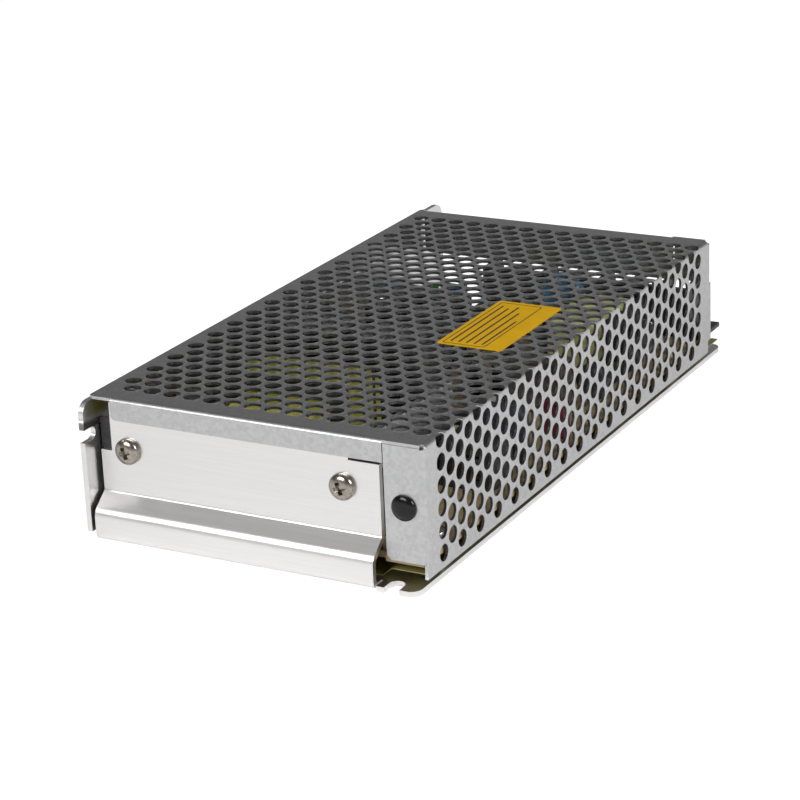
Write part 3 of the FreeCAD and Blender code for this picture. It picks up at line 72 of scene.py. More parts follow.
def smooth_by_angle(mesh, degrees=32.0):
    """Smooth shading with sharp edges where faces meet at more than the angle."""
    bm = bmesh.new()
    bm.from_mesh(mesh)
    limit = radians(degrees)
    for edge in bm.edges:
        edge.smooth = edge.calc_face_angle(0.0) < limit
    for face in bm.faces:
        face.smooth = True
    bm.to_mesh(mesh)
    bm.free()


def evaluated(obj):
    """Mesh of an object with its modifiers taken in."""
    graph = bpy.context.evaluated_depsgraph_get()
    return bpy.data.meshes.new_from_object(obj.evaluated_get(graph))


def placed(name, data):
    """New object in the scene."""
    obj = bpy.data.objects.new(name, data)
    scene.collection.objects.link(obj)
    return obj


def level_shaded(mesh):
    """Same mesh with normals weighted by face area, so that flat faces shade flat."""
    whole = placed("whole", mesh)
    modifier = whole.modifiers.new("weigh", "WEIGHTED_NORMAL")
    modifier.keep_sharp = True
    result = evaluated(whole)
    bpy.data.objects.remove(whole)
    bpy.data.meshes.remove(mesh)
    return result


class Shape:
    """Points and faces of one piece, gathered from several parts."""

    def __init__(self, *parts):
        self.points = []
        self.faces = []
        self.tints = []
        for part in parts:
            self.add(*part)

    def add(self, points, faces, tints=None):
        start = len(self.points)
        self.points += points
        self.faces += [[start + i for i in face] for face in faces]
        self.tints += tints or [0] * len(faces)

    def stamp(self, other, offset):
        """Adds a copy of another shape, moved by the offset."""
        offset = Vector(offset)
        self.add([tuple(Vector(point) + offset) for point in other.points], other.faces)

    def mesh(self, name, angle=32.0):
        mesh = bpy.data.meshes.new(name)
        points = [(x * MM, y * MM, z * MM) for x, y, z in self.points]
        mesh.from_pydata(points, [], self.faces)
        mesh.polygons.foreach_set("material_index", self.tints)
        mesh.validate()
        smooth_by_angle(mesh, angle)
        return mesh


def add_object(name, form, material, replaces=(), body="supply"):
    """Puts a mesh or a shape into the scene as a piece of a body."""
    mesh = level_shaded(form.mesh(name) if isinstance(form, Shape) else form)
    mesh.name = name
    mesh.materials.append(material)
    obj = placed(name, mesh)
    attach(obj, body)
    if replaces:
        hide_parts(*replaces)
    return obj


class Sheet:
    """Sheet metal drawn flat in (u, v) and placed in space by a function of (u, v, depth)."""

    def __init__(self, place, thickness):
        self.place = place
        self.thickness = thickness
        self.index = {}
        self.flat = []
        self.faces = []

    def point(self, u, v, sink=0.0):
        key = (round(u, 4), round(v, 4))
        if key not in self.index:
            self.index[key] = len(self.flat)
            self.flat.append((u, v, sink))
        return self.index[key]

    def polygon(self, corners):
        self.faces.append([self.point(*corner) for corner in corners])

    def grid(self, us, vs, keep=None):
        for u0, u1 in zip(us, us[1:]):
            for v0, v1 in zip(vs, vs[1:]):
                if keep is None or keep((u0 + u1) / 2, (v0 + v1) / 2):
                    self.polygon([(u0, v0), (u1, v0), (u1, v1), (u0, v1)])

    def between(self, inner, outer, centre):
        """Fills the space between two rings of flat points, both sorted by angle."""
        def angle(point):
            return atan2(point[1] - centre[1], point[0] - centre[0]) % (2 * pi)
        inner = sorted(inner, key=angle)
        outer = sorted(outer, key=angle)
        i = j = 0
        while i < len(inner) or j < len(outer):
            a, b = inner[i % len(inner)], outer[j % len(outer)]
            next_a, next_b = inner[(i + 1) % len(inner)], outer[(j + 1) % len(outer)]
            turn_a = angle(next_a) + (2 * pi if i + 1 >= len(inner) else 0)
            turn_b = angle(next_b) + (2 * pi if j + 1 >= len(outer) else 0)
            if j >= len(outer) or (i < len(inner) and turn_a < turn_b):
                self.polygon([a, b, next_a])
                i += 1
            else:
                self.polygon([a, b, next_b])
                j += 1

    def outline(self, loop, holes=()):
        loops = [loop] + list(holes)
        flat = [point for ring in loops for point in ring]
        rings = [[Vector((u, v, 0.0)) for u, v in ring] for ring in loops]
        for a, b, c in tessellate_polygon(rings):
            (ua, va), (ub, vb), (uc, vc) = flat[a], flat[b], flat[c]
            if (ub - ua) * (vc - va) - (uc - ua) * (vb - va) < 0:
                b, c = c, b
            self.polygon([flat[a], flat[b], flat[c]])

    def solid(self):
        count = len(self.flat)
        points = [self.place(u, v, sink) for u, v, sink in self.flat]
        points += [self.place(u, v, self.thickness) for u, v, sink in self.flat]
        faces = list(self.faces)
        tints = [0] * (2 * len(faces))
        directed = set()
        for face in self.faces:
            faces.append([i + count for i in reversed(face)])
            directed.update(zip(face, face[1:] + face[:1]))
        for a, b in directed:
            if (b, a) not in directed:
                faces.append([b, a, a + count, b + count])
                # Walls round sunk points, the hole walls, take the second material, which is dark
                # with painted shade.
                tints.append(1 if self.flat[a][2] else 0)
        return points, faces, tints


def circle(cx, cy, radius, count, turn=0.5):
    step = 2 * pi / count
    return [(cx + radius * cos(step * (k + turn)), cy + radius * sin(step * (k + turn)))
            for k in range(count)]


def arc(cx, cy, radius, start, stop, count):
    """Points from one angle to another, in degrees."""
    angles = [radians(start + (stop - start) * k / count) for k in range(count + 1)]
    return [(cx + radius * cos(a), cy + radius * sin(a)) for a in angles]


def loft(loops, ring=False):
    """Skin over loops of equally many points; a ring joins last and first."""
    count = len(loops[0])
    points = [point for loop in loops for point in loop]
    faces = []
    for row in range(len(loops) if ring else len(loops) - 1):
        below, above = row * count, (row + 1) % len(loops) * count
        for k in range(count):
            nxt = (k + 1) % count
            faces.append([below + k, below + nxt, above + nxt, above + k])
    if not ring:
        faces.append(list(range(count))[::-1])
        faces.append([len(points) - count + k for k in range(count)])
    return points, faces


def across(axis):
    """A direction square to the axis."""
    return Vector((0, 0, 1)) if abs(axis.z) < 0.5 else Vector((1, 0, 0))


def circled(centre, side, other, radius, count):
    """Circle in space, in the plane of two directions."""
    angles = [2 * pi * k / count for k in range(count)]
    return [tuple(centre + side * (radius * cos(a)) + other * (radius * sin(a)))
            for a in angles]


def turned(profile, count, base, axis, ring=False):
    """Round body from (radius, distance along the axis) pairs; a ring joins last and first."""
    base, axis = Vector(base), Vector(axis).normalized()
    side = across(axis)
    return loft([circled(base + axis * reach, side, axis.cross(side), radius, count)
                 for radius, reach in profile], ring)


def crown(radius, start, rise, count, first=1):
    """Quarter round of a profile, from a rim to the middle."""
    return [(max(0.02, radius * cos(a)), start + rise * sin(a))
            for a in (pi / 2 * k / count for k in range(first, count + 1))]


def tube(path, radius, sides=6, closed=False):
    """Round wire along a path of points."""
    path = [Vector(point) for point in path]
    count = len(path)
    loops = []
    normal = None
    for k, point in enumerate(path):
        before = path[k - 1] if closed or k else point
        after = path[(k + 1) % count] if closed or k < count - 1 else point
        along = (after - before).normalized()
        if normal is None:
            normal = along.orthogonal()
        normal = (normal - along * normal.dot(along)).normalized()
        loops.append(circled(point, normal, along.cross(normal), radius, sides))
    return loft(loops, closed)


def block(x0, x1, y0, y1, z0, z1):
    points = [(x, y, z) for z in (z0, z1) for y in (y0, y1) for x in (x0, x1)]
    faces = [[0, 2, 3, 1], [4, 5, 7, 6], [0, 1, 5, 4], [2, 6, 7, 3], [0, 4, 6, 2], [1, 3, 7, 5]]
    return points, faces


def bevelled(mesh, width, segments=2, angle=35.0):
    """Rounds the mesh's sharp edges."""
    bm = bmesh.new()
    bm.from_mesh(mesh)
    limit = radians(angle)
    edges = [edge for edge in bm.edges if edge.calc_face_angle(0.0) > limit]
    bmesh.ops.bevel(bm, geom=edges, offset=width * MM, offset_type="OFFSET", segments=segments,
                    profile=0.5, affect="EDGES", clamp_overlap=True)
    bm.to_mesh(mesh)
    bm.free()
    smooth_by_angle(mesh)
    return mesh


def welded(node):
    """Editable copy of a CAD node's mesh, its doubled points merged."""
    bm = bmesh.new()
    bm.from_mesh(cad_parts[node].data)
    bmesh.ops.remove_doubles(bm, verts=bm.verts, dist=0.001 * MM)
    return bm


def islands(node):
    """Lowest and highest corners of each solid of a CAD node, in millimetres."""
    bm = welded(node)
    seen = set()
    boxes = []
    for start in bm.verts:
        if start in seen:
            continue
        seen.add(start)
        stack, found = [start], []
        while stack:
            vert = stack.pop()
            found.append(vert.co / MM)
            for edge in vert.link_edges:
                other = edge.other_vert(vert)
                if other not in seen:
                    seen.add(other)
                    stack.append(other)
        boxes.append(tuple([pick(point[k] for point in found) for k in range(3)]
                           for pick in (min, max)))
    bm.free()
    return sorted(boxes)


def middle(low, high, **fixed):
    """Centre of a solid's box, apart from the coordinates that are given."""
    centre = [(a + b) / 2 for a, b in zip(low, high)]
    for name, value in fixed.items():
        centre["xyz".index(name)] = value
    return centre


def softened(node, name, width, material):
    """The node's own solids with flat faces merged and edges rounded."""
    bm = welded(node)
    bmesh.ops.dissolve_limit(bm, angle_limit=radians(1.0), verts=bm.verts, edges=bm.edges)
    mesh = bpy.data.meshes.new(name)
    bm.to_mesh(mesh)
    bm.free()
    add_object(name, bevelled(mesh, width), material, [node])


def carved(target, cutter):
    """Mesh of the target with the cutter taken away."""
    whole, tool = placed("whole", target), placed("tool", cutter)
    modifier = whole.modifiers.new("cut", "BOOLEAN")
    modifier.operation = "DIFFERENCE"
    modifier.solver = "EXACT"
    modifier.use_self = True
    modifier.object = tool
    mesh = evaluated(whole)
    for obj in (whole, tool):
        bpy.data.objects.remove(obj)
    smooth_by_angle(mesh)
    return mesh


# Materials

def fill(tree, sockets, inputs):
    """Gives each socket that is named its value or its link."""
    for name, value in dict(inputs).items():
        if isinstance(value, bpy.types.NodeSocket):
            tree.links.new(value, sockets[name])
        else:
            sockets[name].default_value = value


def shader(tree, kind, inputs=(), **settings):
    """Outputs of a new shader node."""
    made = tree.nodes.new("ShaderNode" + kind)
    for name, value in settings.items():
        setattr(made, name, value)
    fill(tree, made.inputs, inputs)
    return made.outputs


def maths(tree, operation, first, second):
    return shader(tree, "Math", enumerate((first, second)), operation=operation)[0]


def new_material(name):
    """Material with its node tree and the sockets of its shader."""
    material = bpy.data.materials.new(name)
    material.use_nodes = True
    tree = material.node_tree
    return material, tree, tree.nodes["Principled BSDF"].inputs


def textured(name, dark, light, roughness, size=1.0, spread=0.06, bump=0.02, metallic=0.0,
             pattern="noise", ior=1.5, extra=()):
    """Procedural finish: colour, roughness and bump all vary over the surface."""
    material, tree, sockets = new_material(name)
    sizes = size if isinstance(size, tuple) else (size,) * 3
    place = shader(tree, "Mapping", {"Vector": shader(tree, "TexCoord")["Object"],
                                     "Scale": [1.0 / (s * MM) for s in sizes]})["Vector"]
    if pattern == "spangle":
        texture = shader(tree, "TexVoronoi", {"Vector": place, "Scale": 1.0, "Randomness": 1.0},
                         feature="F1")
        split = shader(tree, "SeparateColor", {"Color": texture["Color"]})
        value, second, stops = split["Red"], split["Green"], (0.0, 1.0)
    else:
        texture = shader(tree, "TexNoise", {"Vector": place, "Scale": 1.0, "Detail": 4.0})
        value, second, stops = texture["Fac"], texture["Fac"], (0.35, 0.65)
    ramp = tree.nodes.new("ShaderNodeValToRGB")
    for stop, position, colour in zip(ramp.color_ramp.elements, stops, (dark, light)):
        stop.position = position
        stop.color = (*colour, 1.0)
    fill(tree, ramp.inputs, {"Fac": value})
    rough = shader(tree, "MapRange", {"Value": second, "To Min": max(0.02, roughness - spread),
                                      "To Max": roughness + spread})["Result"]
    fill(tree, sockets, {"Base Color": ramp.outputs["Color"], "Roughness": rough,
                         "Metallic": metallic, "IOR": ior})
    if bump:
        grain = shader(tree, "Bump", {"Strength": 0.6, "Distance": bump * MM, "Height": value})
        fill(tree, sockets, {"Normal": grain["Normal"]})
    fill(tree, sockets, extra)
    return material


def grey(value):
    return (value, value, value * 1.01)


PLATED = {"bump": 0.006, "metallic": 1.0}
# Near-black metal for the walls of the cover's holes: painted shade standing in for the dark
# interior they mirror, not a colour of the steel.
HOLE_WALL_SHADE = textured("hole wall painted shade", grey(0.10), grey(0.17), 0.55, 0.6, **PLATED)
GALVANISED = textured("galvanised sheet", grey(0.51), grey(0.59), 0.38, 0.9, spread=0.03,
                      bump=0.003, metallic=1.0, pattern="spangle")
ALUMINIUM = textured("satin aluminium", (0.795, 0.78, 0.775), (0.825, 0.81, 0.805), 0.30,
                     (26.0, 26.0, 0.4), spread=0.03, bump=0.0012, metallic=1.0)
SCREW_NICKEL = textured("dull nickel", (0.30, 0.27, 0.235), (0.42, 0.385, 0.34), 0.22, 0.8,
                        **PLATED)
NICKEL = textured("nickel plated steel", (0.62, 0.60, 0.56), (0.78, 0.76, 0.71), 0.2, 0.8, **PLATED)
STEEL = textured("plated steel", (0.5, 0.5, 0.49), (0.66, 0.66, 0.64), 0.3, 1.5, spread=0.08,
                 **PLATED)
BLACK_GLOSS = textured("glossy nylon", (0.004, 0.004, 0.0045), (0.01, 0.01, 0.011), 0.13, 2.0,
                       spread=0.05, bump=0.006, ior=1.4)
BLACK_MATT = textured("moulded black plastic", (0.012, 0.012, 0.013), (0.03, 0.03, 0.032), 0.42,
                      0.5, spread=0.08)
EPOXY = textured("black epoxy", (0.012, 0.012, 0.012), (0.028, 0.028, 0.028), 0.5, 0.4, spread=0.1)
FILM = textured("olive film", (0.22, 0.205, 0.06), (0.32, 0.30, 0.10), 0.32, (14.0, 14.0, 3.0),
                spread=0.08, bump=0.05)
BOARD = textured("board laminate", (0.42, 0.32, 0.17), (0.56, 0.44, 0.26), 0.48, (3.0, 3.0, 0.2),
                 spread=0.08)
FERRITE = textured("dark ferrite", (0.02, 0.02, 0.021), (0.05, 0.05, 0.052), 0.45, 0.6, spread=0.1,
                   bump=0.03)
YELLOW_TAPE = textured("yellow tape", (0.52, 0.50, 0.06), (0.68, 0.66, 0.14), 0.3,
                       (12.0, 12.0, 1.6), spread=0.08, bump=0.06)
GREEN_TAPE = textured("yellow green tape", (0.70, 0.72, 0.28), (0.84, 0.86, 0.42), 0.3,
                      (9.0, 9.0, 1.2), spread=0.08, bump=0.06)
SLEEVE = textured("dark sleeve", (0.010, 0.010, 0.012), (0.022, 0.022, 0.026), 0.28, 4.0,
                  spread=0.08, bump=0.03)
CAN_TOP = textured("can aluminium", (0.62, 0.62, 0.62), (0.8, 0.8, 0.8), 0.28, spread=0.08,
                   bump=0.01, metallic=1.0)
COPPER = textured("enamelled copper", (0.42, 0.15, 0.05), (0.62, 0.26, 0.09), 0.28, 2.0,
                  spread=0.08, metallic=0.8)
RED_EPOXY = textured("red epoxy", (0.17, 0.025, 0.055), (0.25, 0.04, 0.08), 0.22, 3.0, bump=0.03)
BLUE_EPOXY = textured("blue epoxy", (0.02, 0.20, 0.42), (0.04, 0.29, 0.55), 0.22, 3.0, bump=0.03)
GREY_EPOXY = textured("grey epoxy", (0.055, 0.06, 0.07), (0.095, 0.10, 0.115), 0.45, 0.8,
                      spread=0.08)
STRIPE = textured("sleeve stripe", (0.16, 0.16, 0.17), (0.24, 0.24, 0.25), 0.35, 3.0, bump=0.0)
BAND = textured("colour band", (0.22, 0.05, 0.02), (0.34, 0.09, 0.03), 0.35, 2.0, bump=0.0)
GLASS = textured("fuse glass", (0.90, 0.94, 0.93), (0.97, 0.99, 0.98), 0.04, 6.0, spread=0.02,
                 bump=0.0, ior=1.47, extra={"Transmission Weight": 1.0})
GREY_CASE = textured("grey case", (0.10, 0.095, 0.085), (0.16, 0.15, 0.135), 0.35, 2.0)
PAD = textured("grey pad", (0.030, 0.030, 0.031), (0.055, 0.055, 0.057), 0.6, 0.7, spread=0.08)
WHITE_EPOXY = textured("pale epoxy", (0.60, 0.60, 0.56), (0.74, 0.74, 0.70), 0.45, 0.6, spread=0.08)
RESISTOR_BODY = textured("lacquered body", (0.45, 0.34, 0.20), (0.60, 0.48, 0.30), 0.35)
GREEN_LENS = textured("green lens", (0.03, 0.32, 0.06), (0.06, 0.45, 0.10), 0.12, 2.0, spread=0.04,
                      bump=0.01)
TRIMMER_BLUE = textured("blue plastic", (0.015, 0.06, 0.30), (0.03, 0.10, 0.42), 0.4, 0.7)
TRIMMER_WHITE = textured("ivory plastic", (0.66, 0.63, 0.54), (0.78, 0.75, 0.66), 0.4, 0.7)
STICKER = textured("yellow film", (0.76, 0.42, 0.002), (0.84, 0.48, 0.004), 0.5, 6.0, spread=0.05,
                   bump=0.01, extra={"Specular IOR Level": 0.15})
PRINT = textured("dark print", (0.05, 0.035, 0.01), (0.09, 0.06, 0.02), 0.42, spread=0.05, bump=0.0)


# Cover

MESH_PITCH = 5.968             # from hole to hole in a row
MESH_ROW = 5.0                 # from row to row
MESH_ROWS = 34
HOLES_PER_ROW = 21
HOLE_RADIUS = 2.22
RIM = 0.10                     # rounded edge of a punched hole
RIM_SINK = 0.07
RING = 24                      # points round a hole
STEPS = 8                      # divisions of a pitch
FIRST_HOLE = -40.06
FIRST_ROW = -86.25
FLAT_END = SIDE - COVER_FOLD   # where the top sheet turns down
BEND_LENGTH = 2.48             # of the top sheet's bend, in the flat pattern
SIDE_START = FLAT_END + BEND_LENGTH


def cover_place(u, v, depth):
    if u <= FLAT_END:
        return (u, v, TOP - depth)
    radius = COVER_FOLD - depth
    if u < SIDE_START:
        angle = (u - FLAT_END) / BEND_LENGTH * pi / 2
        return (FLAT_END + radius * sin(angle), v, TOP - COVER_FOLD + radius * cos(angle))
    return (SIDE - depth, v, TOP - COVER_FOLD - (u - SIDE_START))


def side_u(z):
    return SIDE_START + TOP - COVER_FOLD - z


def folded(v, depth):
    """How far a flange has gone outward and then inward after a length v from its fold."""
    radius = COVER_FOLD - depth
    if v < FOLD_LENGTH:
        return radius * sin(v / COVER_FOLD), COVER_FOLD - radius * cos(v / COVER_FOLD)
    return radius, COVER_FOLD + v - FOLD_LENGTH


def perforated_sheet():
    sheet = Sheet(cover_place, COVER_SHEET)
    step = MESH_PITCH / STEPS
    start = FIRST_HOLE - MESH_PITCH
    ticks = STEPS * HOLES_PER_ROW + STEPS // 2

    def u_at(tick):
        return start + tick * step

    for row in range(MESH_ROWS):
        centre_v = FIRST_ROW + row * MESH_ROW
        low, high = centre_v - MESH_ROW / 2, centre_v + MESH_ROW / 2
        shift = STEPS // 2 if row % 2 == 0 else 0
        for hole in range(HOLES_PER_ROW):
            first = shift + hole * STEPS
            centre_u = u_at(first + STEPS // 2)
            rim = [(u, v, RIM_SINK) for u, v in circle(centre_u, centre_v, HOLE_RADIUS, RING)]
            lip = circle(centre_u, centre_v, HOLE_RADIUS + RIM, RING)
            for k in range(RING):
                nxt = (k + 1) % RING
                sheet.polygon([rim[k], lip[k], lip[nxt], rim[nxt]])
            edge = [(u_at(first + k), v) for v in (low, high) for k in range(STEPS + 1)]
            sheet.between(lip, edge, (centre_u, centre_v))
        first = 0 if shift else ticks - STEPS // 2
        plain = [u_at(tick) for tick in range(first, first + STEPS // 2 + 1)]
        for us in (plain, (COVER_LEFT, start), (u_at(ticks), side_u(SIDE_FOOT))):
            sheet.grid(us, (low, high))
    us = [COVER_LEFT] + [u_at(tick) for tick in range(ticks + 1)] + [side_u(SIDE_FOOT)]
    first_v = FIRST_ROW - MESH_ROW / 2
    last_v = FIRST_ROW + (MESH_ROWS - 0.5) * MESH_ROW
    sheet.grid(us, [COVER_NEAR + COVER_FOLD, first_v])
    sheet.grid(us, [last_v, COVER_FAR - COVER_FOLD])
    return sheet


NEAR_FOLD, FAR_FOLD = COVER_NEAR + COVER_FOLD, COVER_FAR - COVER_FOLD
NEAR_FLANGE = (-41.6, 4.7)     # left end and drop of the flanges folded down
FAR_FLANGE = (-46.3, 12.1)
FLANGE_RIGHT = SEAM - 0.25     # short of the flange that laps it
CHAMFER = 1.2
SIDE_RIM = SIDE_FAR - 2.0


def top_ends():
    """Flat ends of the top sheet beside the folded flanges."""
    flat = Sheet(lambda u, v, depth: (u, v, TOP - depth), COVER_SHEET)
    corner = 1.3
    flat.outline([(NEAR_FLANGE[0], NEAR_FOLD), (COVER_LEFT, NEAR_FOLD),
                  *arc(COVER_LEFT + corner, COVER_NEAR + corner - 0.1, corner, 180, 270, 6),
                  (NEAR_FLANGE[0], COVER_NEAR)])
    for low, high in ((COVER_NEAR, NEAR_FOLD), (FAR_FOLD, COVER_FAR)):
        flat.outline([(FLANGE_RIGHT, low), (FLAT_END, low), (FLAT_END, high), (FLANGE_RIGHT, high)])
    flat.outline([(COVER_LEFT, FAR_FOLD), (FAR_FLANGE[0], FAR_FOLD), (FAR_FLANGE[0], COVER_FAR),
                  (COVER_LEFT + 0.8, COVER_FAR), (COVER_LEFT, COVER_FAR - 0.8)])
    return flat.solid()


def down_flange(line, sign, left, drop):
    """Flange folded down from the top sheet, its lower left corner rounded."""
    def place(u, v, depth):
        outward, down = folded(v, depth)
        return (u, line + sign * outward, TOP - down)
    flange = Sheet(place, COVER_SHEET)
    radius = 1.6
    xs = [left + radius * (1 - cos(radians(a))) for a in (0, 18, 36, 54, 72, 90)]
    xs += [FLANGE_RIGHT]

    def foot(u):
        short = max(0.0, radius - (u - left))
        return FOLD_LENGTH + drop - radius + sqrt(max(0.0, radius ** 2 - short ** 2))
    bend = [FOLD_LENGTH * k / 8 for k in range(9)]
    for u0, u1 in zip(xs, xs[1:]):
        flange.grid([u0, u1], bend)
        flange.polygon([(u0, FOLD_LENGTH), (u1, FOLD_LENGTH), (u1, foot(u1)), (u0, foot(u0))])
    return flange.solid()


def side_flange(line, sign, foot):
    """Flange folded inward from the perforated side, its lower corner cut off; u is height."""
    def place(u, v, depth):
        outward, inward = folded(v, depth)
        return (SIDE - inward, line + sign * outward, u)
    flange = Sheet(place, COVER_SHEET)
    reach = FLAT_END - SEAM
    flange.grid([foot, TOP - COVER_FOLD], [FOLD_LENGTH * k / 8 for k in range(9)])
    head = TOP - COVER_SHEET - 0.1
    flange.outline([(foot, FOLD_LENGTH), (TOP - COVER_FOLD, FOLD_LENGTH), (head, FOLD_LENGTH),
                    (head, FOLD_LENGTH + reach), (foot + CHAMFER, FOLD_LENGTH + reach),
                    (foot, FOLD_LENGTH + reach - CHAMFER)])
    return flange.solid()


def side_ends():
    """Lower ends of the perforated side."""
    ends = Sheet(lambda u, v, depth: (SIDE - depth, u, v), COVER_SHEET)
    for low, high in ((COVER_NEAR, NEAR_FOLD), (FAR_FOLD, SIDE_RIM)):
        ends.outline([(low, SIDE_FOOT), (high, SIDE_FOOT), (high, FLANGE_FOOT), (low, FLANGE_FOOT)])
    ends.outline([(FAR_FOLD, FLANGE_FOOT), (SIDE_RIM, FLANGE_FOOT), (SIDE_FAR, FLANGE_FOOT),
                  (SIDE_FAR, FAR_FOOT), (SIDE_FAR - COVER_FOLD, FAR_FOOT),
                  (SIDE_FAR - COVER_FOLD, TOP - COVER_FOLD), (FAR_FOLD, TOP - COVER_FOLD)])
    return ends.solid()


def flipped(points, faces, tints=None):
    return points, [face[::-1] for face in faces]


def make_cover():
    shape = Shape(perforated_sheet().solid(), top_ends(),
                  down_flange(NEAR_FOLD, -1, *NEAR_FLANGE)[:2],
                  flipped(*down_flange(FAR_FOLD, 1, *FAR_FLANGE)),
                  side_flange(NEAR_FOLD, -1, FLANGE_FOOT)[:2],
                  flipped(*side_flange(SIDE_FAR - COVER_FOLD, 1, FAR_FOOT)), side_ends())
    for y in (NEAR + 22.0, FAR - 22.0):         # fixing tabs inside the left wall
        shape.add(*block(WALL_INNER, WALL_INNER + COVER_SHEET, y - 6, y + 6, 29.2, 37.21))
    return shape.mesh("cover_sheet", 40.0)


cover = add_object("cover_sheet", make_cover(), GALVANISED, ["mesh_cover"])
# Second slot: painted shade on the walls of the holes.
cover.data.materials.append(HOLE_WALL_SHADE)


# Tray

def rounded_path(points, radii, count=10):
    """Open 2-D path whose inner corners become arcs."""
    path = [points[0]]
    for k, radius in enumerate(radii, start=1):
        corner = Vector(points[k])
        back = (Vector(points[k - 1]) - corner).normalized()
        ahead = (Vector(points[k + 1]) - corner).normalized()
        half = back.angle(ahead) / 2
        reach = radius / tan(half)
        centre = corner + (back + ahead).normalized() * (radius / sin(half))
        first = corner + back * reach - centre
        turn = pi - 2 * half
        sign = 1 if back.x * ahead.y - back.y * ahead.x < 0 else -1
        for step in range(count + 1):
            angle = sign * turn * step / count
            spoke = Matrix.Rotation(angle, 2) @ first
            path.append((centre.x + spoke.x, centre.y + spoke.y))
    path.append(points[-1])
    return path


def path_normals(path):
    """Normal at each point of an open path, towards the inside of the fold."""
    normals = []
    for k in range(len(path)):
        before = Vector(path[k]) - Vector(path[max(k - 1, 0)])
        after = Vector(path[min(k + 1, len(path) - 1)]) - Vector(path[k])
        along = before.normalized() + after.normalized()
        along.normalize()
        normals.append(Vector((along.y, -along.x)))
    return normals


END_FACE = -94.2
END_TOP = 36.5
LEFT_STEP, RIGHT_STEP = 23.4, 31.1      # heights where the end wall's corners are cut out
WALL_X0 = -45.7
WALL_X1 = 35.5
APRON = NEAR + 3.8
END_PATH = rounded_path([(APRON, 0.0), (NEAR, 0.0), (NEAR, 8.0), (END_FACE, 12.2),
                         (END_FACE, END_TOP)], [TRAY_FOLD, 3.9, 1.0])
END_NORMALS = path_normals(END_PATH)


def end_wall_place(u, v, depth):
    """u runs along X and v counts points of the wall's profile."""
    k = int(v)
    following = END_PATH[min(k + 1, len(END_PATH) - 1)]
    point = Vector(END_PATH[k]).lerp(Vector(following), v - k)
    normal = END_NORMALS[k]
    return (u, point.x + normal.x * depth, point.y + normal.y * depth)


def make_tray():
    shape = Shape()
    # end wall with its roll
    last = len(END_PATH) - 1
    run = END_TOP - END_PATH[last - 1][1]
    left_cut, right_cut = (last - (END_TOP - z) / run for z in (LEFT_STEP, RIGHT_STEP))
    wall = Sheet(end_wall_place, TRAY_SHEET)
    vs = list(range(last)) + [left_cut, right_cut, last]
    xs = [WALL_X0, WALL_X0 + 3.3, WALL_X1 - 8.5, WALL_X1]

    def kept(u, v):
        return not (u < xs[1] and v > left_cut) and not (u > xs[2] and v > right_cut)
    wall.grid(xs, vs, kept)
    shape.add(*wall.solid())

    # base
    base = Sheet(lambda u, v, depth: (u, v, TRAY_SHEET - depth), TRAY_SHEET)
    slot_x, slot_half, slot_end = RIGHT - 7.9, 2.1, 5.0 - 2.1
    base_right = RIGHT - 0.8
    corner = 3.0
    loop = [(LEFT + TRAY_FOLD, APRON), (WALL_X1 + 0.6, APRON), (WALL_X1 + 0.6, NEAR),
            (slot_x - slot_half, NEAR),
            *arc(slot_x, NEAR + slot_end, slot_half, 180, 0, 12), (slot_x + slot_half, NEAR),
            *arc(base_right - corner, NEAR + corner, corner, 270, 360, 6),
            *arc(base_right - corner, FAR - corner, corner, 0, 90, 6), (slot_x + slot_half, FAR),
            *arc(slot_x, FAR - slot_end, slot_half, 360, 180, 12), (slot_x - slot_half, FAR),
            (LEFT + TRAY_FOLD, FAR)]
    holes = [circle(x, y, 1.25, 24) for x in (-27.5, 27.5) for y in (-75.0, 75.0)]
    holes += [circle(*middle(low, high)[:2], 2.1, 24) for low, high in islands("standoffs")]
    base.outline(loop, holes)
    shape.add(*base.solid())

    # fold between the base and the left wall
    def fold(u, v, depth):
        angle, radius = radians(v), TRAY_FOLD - depth
        return (LEFT + TRAY_FOLD - radius * cos(angle), u,
                TRAY_FOLD - radius * sin(angle))
    bend = Sheet(fold, TRAY_SHEET)
    bend.grid([APRON, FAR], [9.0 * k for k in range(11)])
    shape.add(*bend.solid())

    # left wall
    wall = Sheet(lambda u, v, depth: (LEFT + depth, u, v), TRAY_SHEET)
    notch_z, notch_half, notch_end = 28.2, 1.75, 4.9 - 1.75
    corner = 3.5
    low, high = notch_z - notch_half, notch_z + notch_half
    loop = [(NEAR, TRAY_FOLD), (NEAR, low),
            *arc(NEAR + notch_end, notch_z, notch_half, -90, 90, 12), (NEAR, high),
            *arc(NEAR + corner, WALL_TOP - corner, corner, 180, 90, 6),
            *arc(FAR - corner, WALL_TOP - corner, corner, 90, 0, 6), (FAR, high),
            *arc(FAR - notch_end, notch_z, notch_half, 90, 270, 12), (FAR, low), (FAR, TRAY_FOLD)]
    holes = [circle(y, 18.0, 1.25, 24) for y in (-58.5, 58.5)]
    for node, radius in (("cover_screws", 2.75), ("clamp_screw", 1.5)):
        holes += [circle(*middle(low, high)[1:], radius, 32) for low, high in islands(node)]
    wall.outline(loop, holes)
    shape.add(*flipped(*wall.solid()))
    return shape.mesh("tray_sheet", 40.0)


add_object("tray_sheet", make_tray(), ALUMINIUM, ["chassis"])


# Screws and plug

